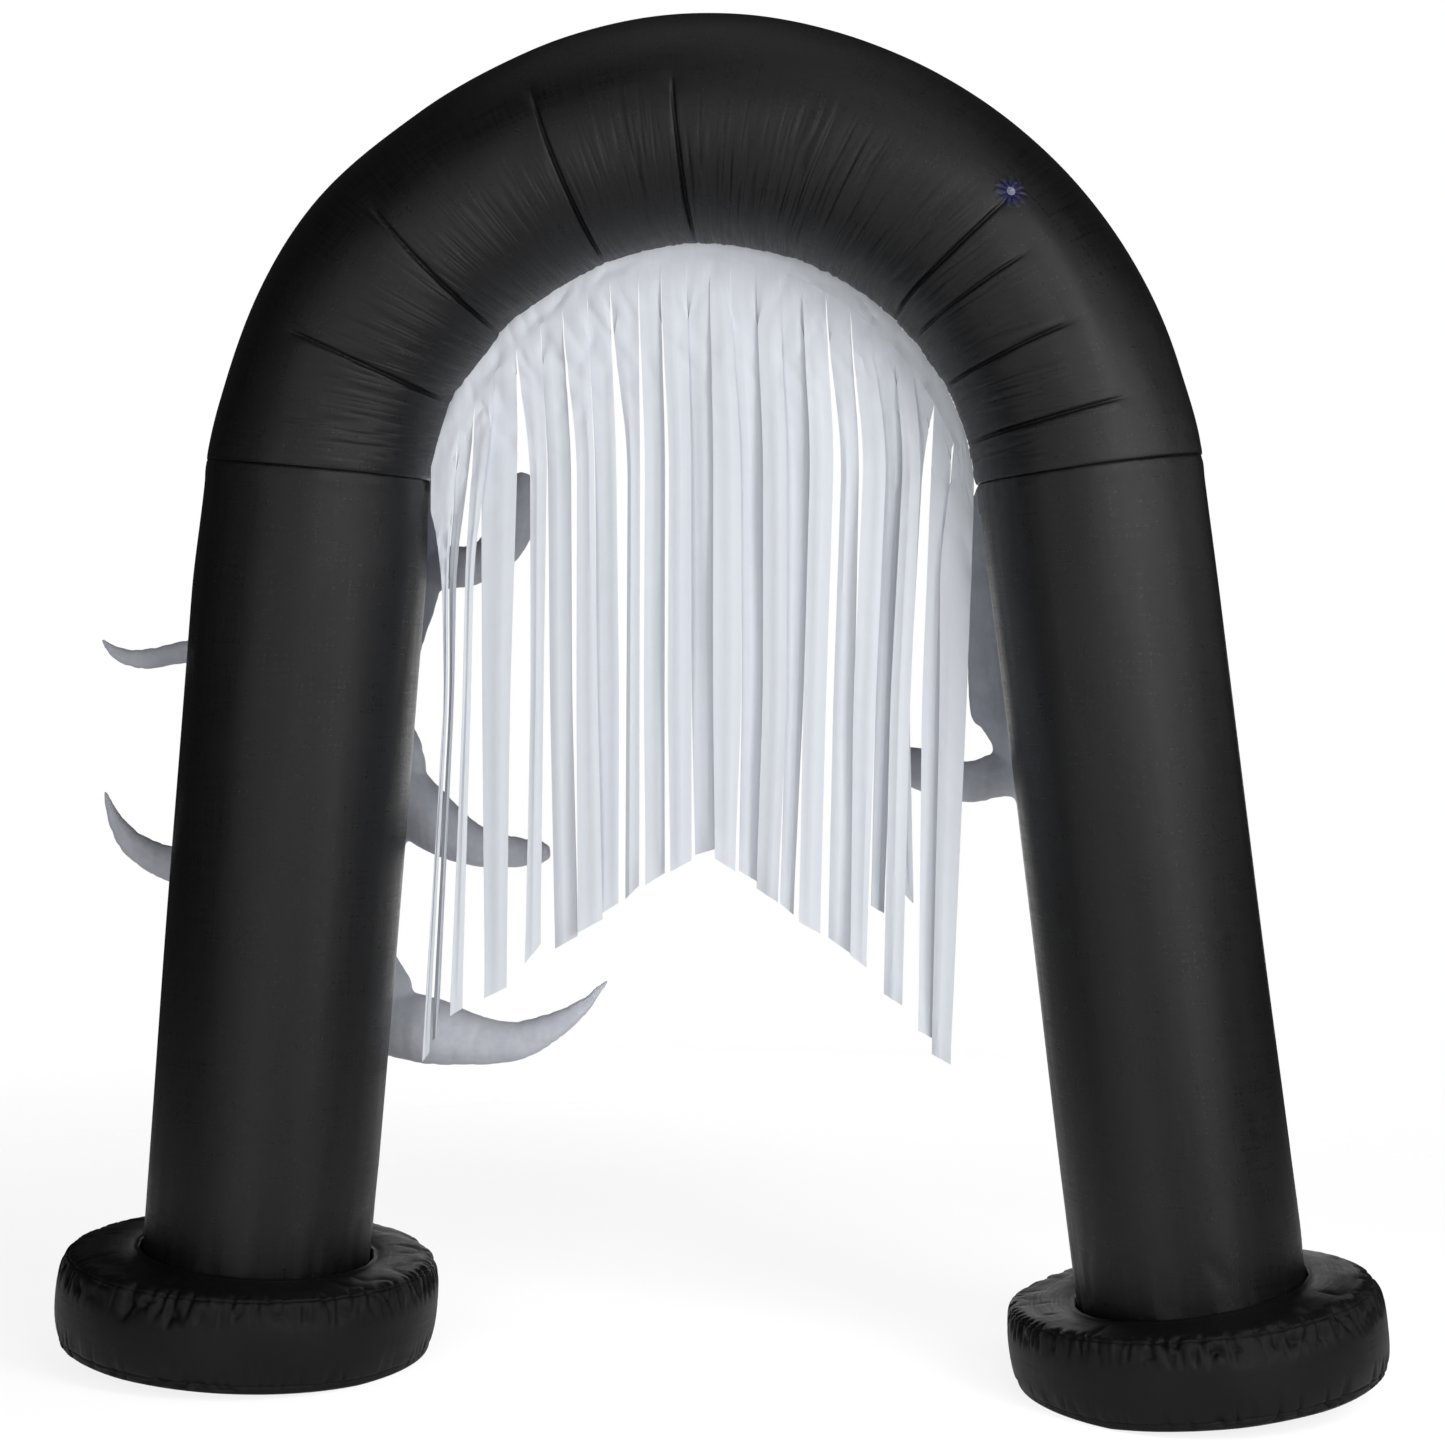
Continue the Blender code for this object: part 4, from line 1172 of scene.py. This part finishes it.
@dataclass(frozen=True)
class Figure:
    """One pale inflated figure on the far side of a leg: a flattened body and its limbs.

    Body rows are height, middle x, half width and share of the full depth, from the top down.
    Limb rows are x, y, z and radius along the middle line, root first.
    """

    node: str
    leg: Leg
    body: tuple
    limbs: tuple
    seed: int
    front_y: float = 0.386
    voxel: float = 0.0062
    around: int = 72
    seat_gap: float = 0.0006

    def body_mesh(self) -> bpy.types.Mesh:
        """Shape the flattened body."""
        back_y = self.leg.radius * math.cos(HALF_FACET) + self.seat_gap
        depth = 0.5 * (self.front_y - back_y) / math.cos(math.pi / 16.0)
        rows = np.array(self.body)

        def place(u: Array, v: Array) -> Array:
            """Points for shares round and down the body."""
            height, middle, half, share = open_curve(rows, v).T
            turn = 2.0 * np.pi * u
            y = 0.5 * (self.front_y + back_y) + depth * share * np.sin(turn)
            y = np.clip(y, back_y, self.front_y)
            return np.stack([middle + np.maximum(half, 0.004) * np.cos(turn), y, height], axis=1)

        return Skin(f"{self.node}_body", self.around, 96, place, (1.0, 1.0)).mesh()

    def limb_mesh(self, limb: tuple) -> bpy.types.Mesh:
        """Shape one tapered limb."""
        rows = np.array(limb)

        def place(u: Array, v: Array) -> Array:
            """Points for shares round and along the limb."""
            here = open_curve(rows, v)
            ahead = open_curve(rows, np.clip(v + 0.01, 0.0, 1.0))[:, :3]
            behind = open_curve(rows, np.clip(v - 0.01, 0.0, 1.0))[:, :3]
            along = ahead - behind
            along /= np.linalg.norm(along, axis=1)[:, None]
            upward = np.cross(along, np.array([0.0, 1.0, 0.0]))
            upward /= np.linalg.norm(upward, axis=1)[:, None]
            sideways = np.cross(upward, along)
            turn = (2.0 * np.pi * u)[:, None]
            size = np.maximum(here[:, 3], 0.002)[:, None]
            return here[:, :3] + size * (upward * np.cos(turn) + sideways * np.sin(turn))

        return Skin(f"{self.node}_limb", 40, 80, place, (1.0, 1.0)).mesh()

    def fused(self) -> bpy.types.Mesh:
        """Fuse the body and the limbs into one skin.

        Returns:
            The fused mesh, smoothed where the limbs meet the body.
        """
        form = bmesh.new()
        for mesh in [self.body_mesh()] + [self.limb_mesh(limb) for limb in self.limbs]:
            form.from_mesh(mesh)
            bpy.data.meshes.remove(mesh)
        raw = bpy.data.meshes.new(f"{self.node}_raw")
        form.to_mesh(raw)
        form.free()
        holder = linked(f"{self.node}_raw", raw)
        remesh = holder.modifiers.new("fuse", "REMESH")
        remesh.mode = "VOXEL"
        remesh.voxel_size = self.voxel
        smooth = holder.modifiers.new("ease", "SMOOTH")
        smooth.factor = 0.5
        smooth.iterations = 5
        bpy.context.view_layer.update()
        seen = holder.evaluated_get(bpy.context.evaluated_depsgraph_get())
        mesh = bpy.data.meshes.new_from_object(seen)
        bpy.data.objects.remove(holder)
        bpy.data.meshes.remove(raw)
        return mesh

    def gathered(self, mesh: bpy.types.Mesh) -> None:
        """Draw gathers across the limbs and the body, and keep the skin off the leg."""
        count = len(mesh.vertices)
        points = np.empty(count * 3, np.float32)
        normals = np.empty(count * 3, np.float32)
        mesh.vertices.foreach_get("co", points)
        mesh.vertices.foreach_get("normal", normals)
        points, normals = points.reshape(-1, 3).astype(float), normals.reshape(-1, 3).astype(float)
        depth = 0.0018 * SoftNoise(self.seed).lines(points[:, 0] / 0.017, points[:, 2] / 0.085, 2.0)
        depth += 0.0012 * SoftNoise(self.seed + 1).lines(points[:, 2] / 0.030, points[:, 0] / 0.10, 2.0)
        for limb in self.limbs:
            rows = np.array(limb)
            gap = np.abs(points[:, 2] - np.interp(points[:, 0], *self._line(rows)))
            near = (points[:, 1] > 0.16) & (gap < 0.012)
            depth += 0.0016 * near * np.exp(-(gap / 0.003) ** 2)
        points -= normals * depth[:, None]
        middle = self.leg.centre_x(points[:, 2])
        away = np.stack([points[:, 0] - middle, points[:, 1]], axis=1)
        distance = np.linalg.norm(away, axis=1)
        least = self.leg.radius_at(points[:, 2]) * SKIN_SHARE + 0.0008
        push = np.maximum(1.0, least / np.maximum(distance, 0.01))
        points[:, 0] = middle + away[:, 0] * push
        points[:, 1] = away[:, 1] * push
        mesh.vertices.foreach_set("co", points.astype(np.float32).ravel())
        mesh.update()
        mesh.shade_smooth()

    @staticmethod
    def _line(rows: Array) -> tuple[Array, Array]:
        """A limb's middle line as rising x and z, for a seam along it."""
        order = np.argsort(rows[:, 0])
        return rows[order, 0], rows[order, 2]

    def build(self, finish: bpy.types.Material) -> None:
        """Build and dress the figure."""
        mesh = self.fused()
        self.gathered(mesh)
        dress(f"{self.node}_skin", mesh, finish, "pale_cloth", self.node)


@dataclass(frozen=True)
class LampAndTab:
    """The clear lamp dome on the right shoulder and the bare tab beside the curtain."""

    tube: TopTube
    leg: Leg
    radius: float = 0.0085
    height: float = 0.0095
    steps: int = 48
    tab_width: float = 0.010
    tab_length: float = 0.046
    tab_top: float = 1.794
    tab_y: float = 0.012
    tab_thickness: float = 0.0005

    def build_lamp(self, finish: bpy.types.Material) -> None:
        """Spin the dome with its rim and seat it on the tube."""
        centre, out = self.tube.lamp_seat()
        form = bmesh.new()
        quarter = [math.pi / 2.0 * step / 10.0 for step in range(11)]
        profile = [(self.radius * 0.86 * math.sin(turn), self.height * math.cos(turn))
                   for turn in quarter]
        profile += [(self.radius, 0.0004), (self.radius, -0.0004), (0.0, -0.0004)]
        points = [form.verts.new((x, 0.0, z)) for x, z in profile]
        edges = [form.edges.new(pair) for pair in zip(points, points[1:])]
        bmesh.ops.spin(form, geom=points + edges, axis=(0.0, 0.0, 1.0), cent=(0.0, 0.0, 0.0),
                       angle=2.0 * math.pi, steps=self.steps, use_merge=True)
        bmesh.ops.remove_doubles(form, verts=form.verts, dist=MERGE_DISTANCE)
        bmesh.ops.recalc_face_normals(form, faces=form.faces)
        seat = Matrix.Translation(centre + out * 0.0008) @ (
            out.to_track_quat("Z", "Y").to_matrix().to_4x4())
        bmesh.ops.transform(form, matrix=seat, verts=form.verts)
        mesh = bpy.data.meshes.new("lamp_dome")
        form.to_mesh(mesh)
        form.free()
        mesh.shade_smooth()
        mesh.set_sharp_from_angle(angle=math.radians(40.0))
        dress("lamp_dome", mesh, finish, "clear_lamp", "led_light")

    def build_tab(self, finish: bpy.types.Material) -> None:
        """Fold the ribbon double and sew it along the inner side of the right leg."""

        def place(u: Array, v: Array) -> Array:
            """Points for shares across and along the folded ribbon."""
            fold = np.abs(2.0 * v - 1.0)
            z = self.tab_top - self.tab_length * (1.0 - fold)
            near = self.leg.centre_x(z) - self.leg.radius_at(z) * SKIN_SHARE
            layer = np.where(v < 0.5, 0.0006, 0.0016) + 0.0004 * np.sin(np.pi * (1.0 - fold))
            wave = 0.0010 * (1.0 - fold) ** 2 * np.sin(np.pi * u)
            return np.stack([near - layer - wave, self.tab_y + (u - 0.5) * self.tab_width, z], axis=1)

        size = (self.tab_width, 2.0 * self.tab_length)
        mesh = joined("ribbon_tab", [Skin("ribbon", 10, 60, place, size, Seam.OPEN).mesh()])
        piece = dress("ribbon_tab", mesh, finish, "beige_tab", "side_tab")
        thicken(piece, self.tab_thickness)


@dataclass(frozen=True)
class SoftBox:
    """One large soft light: its place, what it looks at, its size, power and tint."""

    name: str
    place: tuple
    target: tuple
    size: tuple
    power: float
    tint: tuple = (1.0, 1.0, 1.0)

    def hang(self) -> None:
        """Put the light in the scene."""
        light = bpy.data.lights.new(self.name, "AREA")
        light.shape = "RECTANGLE"
        light.size, light.size_y = self.size
        light.energy = self.power
        light.color = self.tint
        way = Vector(self.target) - Vector(self.place)
        turned = way.to_track_quat("-Z", "Y").to_matrix().to_4x4()
        linked(self.name, light).matrix_world = Matrix.Translation(self.place) @ turned


@dataclass(frozen=True)
class Studio:
    """Plain white studio: floor, soft lights, white world and the camera of the photograph."""

    camera_place: tuple = (0.7008, -5.5285, 1.568)
    camera_right: tuple = (0.9925, 0.12209, 0.00523)
    camera_up: tuple = (-0.01051, 0.04266, 0.99903)
    focal_pixels: float = 2750.0
    image_pixels: float = 1445.0
    sensor: float = 36.0
    floor_half: float = 9.0
    floor_full: float = 1.9
    floor_gone: float = 4.2
    floor_share: float = 0.5
    floor_glow: float = 0.66
    ambience: float = 0.03
    boxes: tuple = (
        SoftBox("left_soft_box", (-1.1, -4.1, 1.6), (0.0, 0.0, 1.3), (1.7, 3.2), 44.0),
        SoftBox("centre_soft_box", (1.6, -3.9, 2.2), (0.0, 0.0, 1.5), (1.2, 2.4), 17.0),
        SoftBox("right_soft_box", (3.3, -2.8, 2.6), (0.0, 0.0, 1.5), (1.8, 3.0), 98.0),
        SoftBox("right_rim_box", (4.2, 0.6, 2.4), (0.0, 0.0, 1.6), (1.2, 2.0), 12.0),
        SoftBox("left_rim_box", (-3.5, -2.4, 2.3), (0.0, 0.0, 1.5), (1.6, 2.0), 6.0),
        SoftBox("front_top_box", (1.4, -2.4, 4.6), (0.2, 0.0, 1.5), (2.4, 1.2), 18.0),
        SoftBox("top_box", (0.0, 0.0, 5.0), (0.0, 0.0, 0.0), (3.0, 2.0), 8.0),
        SoftBox("far_soft_box", (0.0, 4.0, 0.8), (0.0, 0.0, 0.9), (4.0, 1.5), 24.0))

    def build_camera(self) -> None:
        """Place the camera of the photograph."""
        data = bpy.data.cameras.new("photo_camera")
        data.sensor_width = self.sensor
        data.lens = self.focal_pixels / self.image_pixels * self.sensor
        data.clip_end = 100.0
        camera = linked("photo_camera", data)
        right, up = Vector(self.camera_right).normalized(), Vector(self.camera_up)
        back = right.cross(up).normalized()
        up = back.cross(right).normalized()
        turned = Matrix((right, up, back)).transposed().to_4x4()
        camera.matrix_world = Matrix.Translation(self.camera_place) @ turned
        bpy.context.scene.camera = camera

    def build_floor(self) -> None:
        """Lay a pale floor that fades out far from the arch."""
        form = bmesh.new()
        bmesh.ops.create_grid(form, x_segments=2, y_segments=2, size=self.floor_half)
        bmesh.ops.translate(form, verts=form.verts, vec=(0.0, 0.0, -0.0006))
        mesh = bpy.data.meshes.new("studio_floor")
        form.to_mesh(mesh)
        form.free()
        recipe = Recipe("studio_floor")
        place = recipe.node("ShaderNodeTexCoord")[3]
        away = recipe.vector("LENGTH", place)[1]
        share = (self.floor_gone - away) / (self.floor_gone - self.floor_full)
        shown = recipe.clamped(share) * self.floor_share
        recipe.feed(Base_Color=(0.95, 0.95, 0.95, 1.0), Roughness=0.9, Specular_IOR_Level=0.0,
                    Emission_Color=(1.0, 1.0, 1.0, 1.0), Emission_Strength=self.floor_glow,
                    Alpha=shown)
        mesh.materials.append(recipe.material)
        linked("studio_floor", mesh)

    def build_world(self) -> None:
        """White to the camera, and a dim even light to everything else."""
        world = bpy.data.worlds.new("white_studio")
        world.use_nodes = True
        tree = world.node_tree
        tree.nodes.clear()
        seen = tree.nodes.new("ShaderNodeLightPath")
        strength = Wire(tree, seen.outputs["Is Camera Ray"]) * (1.0 - self.ambience) + self.ambience
        background = tree.nodes.new("ShaderNodeBackground")
        background.inputs["Color"].default_value = (1.0, 1.0, 1.0, 1.0)
        tree.links.new(strength.socket, background.inputs["Strength"])
        output = tree.nodes.new("ShaderNodeOutputWorld")
        tree.links.new(background.outputs[0], output.inputs[0])
        bpy.context.scene.world = world

    def build(self) -> None:
        """Set up the whole studio."""
        self.build_camera()
        self.build_floor()
        self.build_world()
        for box in self.boxes:
            box.hang()
        bpy.context.scene.view_settings.view_transform = "Standard"


BODY_LEFT_UPPER = (
    (1.993, -0.820, 0.035, 0.30), (1.968, -0.820, 0.105, 0.62), (1.898, -0.820, 0.168, 0.88),
    (1.753, -0.822, 0.206, 1.00), (1.608, -0.824, 0.194, 1.00), (1.448, -0.826, 0.148, 1.00),
    (1.393, -0.826, 0.138, 0.90), (1.364, -0.826, 0.100, 0.66), (1.352, -0.826, 0.040, 0.30))
BODY_LEFT_LOWER = (
    (1.344, -0.850, 0.040, 0.30), (1.330, -0.850, 0.100, 0.66), (1.293, -0.850, 0.160, 0.90),
    (1.188, -0.855, 0.190, 1.00), (1.048, -0.868, 0.160, 1.00), (0.888, -0.880, 0.140, 1.00),
    (0.800, -0.872, 0.140, 1.00), (0.735, -0.860, 0.165, 0.96), (0.660, -0.855, 0.150, 0.90),
    (0.590, -0.845, 0.110, 0.75), (0.548, -0.840, 0.045, 0.34))
BODY_RIGHT = (
    (1.973, 0.762, 0.040, 0.30), (1.948, 0.760, 0.115, 0.62), (1.880, 0.756, 0.190, 0.88),
    (1.767, 0.752, 0.248, 1.00), (1.608, 0.760, 0.259, 1.00), (1.468, 0.766, 0.262, 1.00),
    (1.335, 0.772, 0.260, 1.00), (1.300, 0.778, 0.238, 1.00), (1.262, 0.784, 0.224, 1.00),
    (1.088, 0.810, 0.176, 0.96), (0.908, 0.840, 0.130, 0.84), (0.748, 0.860, 0.080, 0.66),
    (0.648, 0.872, 0.030, 0.34))
ARM_LEFT_UPPER = (
    (-0.720, 0.312, 1.648, 0.050), (-0.610, 0.312, 1.640, 0.046), (-0.535, 0.308, 1.656, 0.044),
    (-0.482, 0.300, 1.708, 0.048), (-0.462, 0.296, 1.770, 0.044), (-0.452, 0.294, 1.820, 0.032),
    (-0.449, 0.293, 1.846, 0.012))
HORN_LEFT_UPPER = (
    (-0.960, 0.312, 1.470, 0.046), (-1.080, 0.286, 1.463, 0.035), (-1.180, 0.244, 1.455, 0.026),
    (-1.262, 0.214, 1.439, 0.023), (-1.322, 0.202, 1.453, 0.014), (-1.356, 0.195, 1.488, 0.003))
HORN_LEFT_LOWER = (
    (-0.970, 0.312, 0.954, 0.060), (-1.090, 0.290, 0.966, 0.050), (-1.218, 0.242, 0.995, 0.038),
    (-1.287, 0.212, 1.037, 0.029), (-1.326, 0.200, 1.094, 0.016), (-1.346, 0.194, 1.156, 0.004))
ARM_LEFT_LOWER = (
    (-0.840, 0.312, 1.206, 0.072), (-0.735, 0.312, 1.158, 0.070), (-0.650, 0.311, 1.090, 0.064),
    (-0.585, 0.308, 1.050, 0.051), (-0.515, 0.304, 1.030, 0.040), (-0.445, 0.300, 1.026, 0.032),
    (-0.406, 0.298, 1.027, 0.026), (-0.385, 0.297, 1.028, 0.010))
TAIL_LEFT_LOWER = (
    (-0.840, 0.312, 0.662, 0.073), (-0.745, 0.312, 0.648, 0.074), (-0.650, 0.311, 0.631, 0.073),
    (-0.560, 0.308, 0.615, 0.056), (-0.470, 0.304, 0.614, 0.044), (-0.390, 0.300, 0.645, 0.032),
    (-0.320, 0.297, 0.691, 0.018), (-0.259, 0.295, 0.755, 0.004))
ARM_RIGHT = (
    (0.690, 0.312, 1.215, 0.060), (0.590, 0.312, 1.209, 0.050), (0.505, 0.309, 1.190, 0.044),
    (0.430, 0.306, 1.210, 0.047), (0.372, 0.303, 1.229, 0.037), (0.332, 0.301, 1.244, 0.015))
LEFT_FOLDS = ((247.5, 0.016, 1.7, 3.9, 7.6), (262.5, 0.012, 1.5, 3.9, 7.6),
              (258.0, 0.006, 1.4, 2.2, 5.0))
RIGHT_FOLDS = ((292.5, 0.010, 1.5, 4.2, 7.0), (235.0, 0.006, 1.6, 2.2, 5.0))


def main() -> None:
    """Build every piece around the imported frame."""
    logging.basicConfig(level=logging.INFO, format="%(name)s: %(message)s")
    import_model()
    bend = Bend()
    tube = TopTube(bend)
    left = Leg("leg_left", bend, -0.968, 0.2385, 0.2395, 0.2300, seed=101)
    right = Leg("leg_right", bend, 1.000, 0.2325, 0.2275, 0.2260, seed=111)
    seat, out = tube.lamp_seat()
    lamp_at = tuple(seat)
    first = out.orthogonal().normalized()
    axes = (tuple(first), tuple(out.cross(first)))
    top_black = BlackNylon("black_cloth_top", glow_at=lamp_at, glow_axes=axes).make()
    leg_black = BlackNylon("black_cloth_leg").make()
    # Painted shade: the rings' cloth is darker than the legs' cloth so that their sides stay as dark as
    # in shade.
    shaded_ring_black = BlackNylon("black_base_cloth", dark=(0.0018, 0.0018, 0.0020, 1.0),
                            light=(0.0045, 0.0045, 0.0049, 1.0), roughness=0.42,
                            specular=0.24).make()
    pale = PaleNylon().make()
    tube.build(top_black)
    left.build(leg_black)
    right.build(leg_black)
    BaseRing("base_ring_left", left, -0.970, 0.394, 0.221, 0.020, 0.027, -0.80,
             LEFT_FOLDS, seed=201).build(shaded_ring_black)
    BaseRing("base_ring_right", right, 0.985, 0.379, 0.208, 0.042, 0.045, -0.52,
             RIGHT_FOLDS, seed=221).build(shaded_ring_black)
    Streamers(tube).build(WhiteStreamer().make())
    Figure("figure_left_upper", left, BODY_LEFT_UPPER, (ARM_LEFT_UPPER, HORN_LEFT_UPPER),
           seed=301).build(pale)
    Figure("figure_left_lower", left, BODY_LEFT_LOWER,
           (ARM_LEFT_LOWER, HORN_LEFT_LOWER, TAIL_LEFT_LOWER), seed=311).build(pale)
    Figure("figure_right", right, BODY_RIGHT, (ARM_RIGHT,), seed=321).build(pale)
    trim = LampAndTab(tube, right)
    trim.build_lamp(ClearLamp(centre=lamp_at).make())
    trim.build_tab(BeigeRibbon().make())
    Studio().build()


if __name__ == "__main__":
    main()
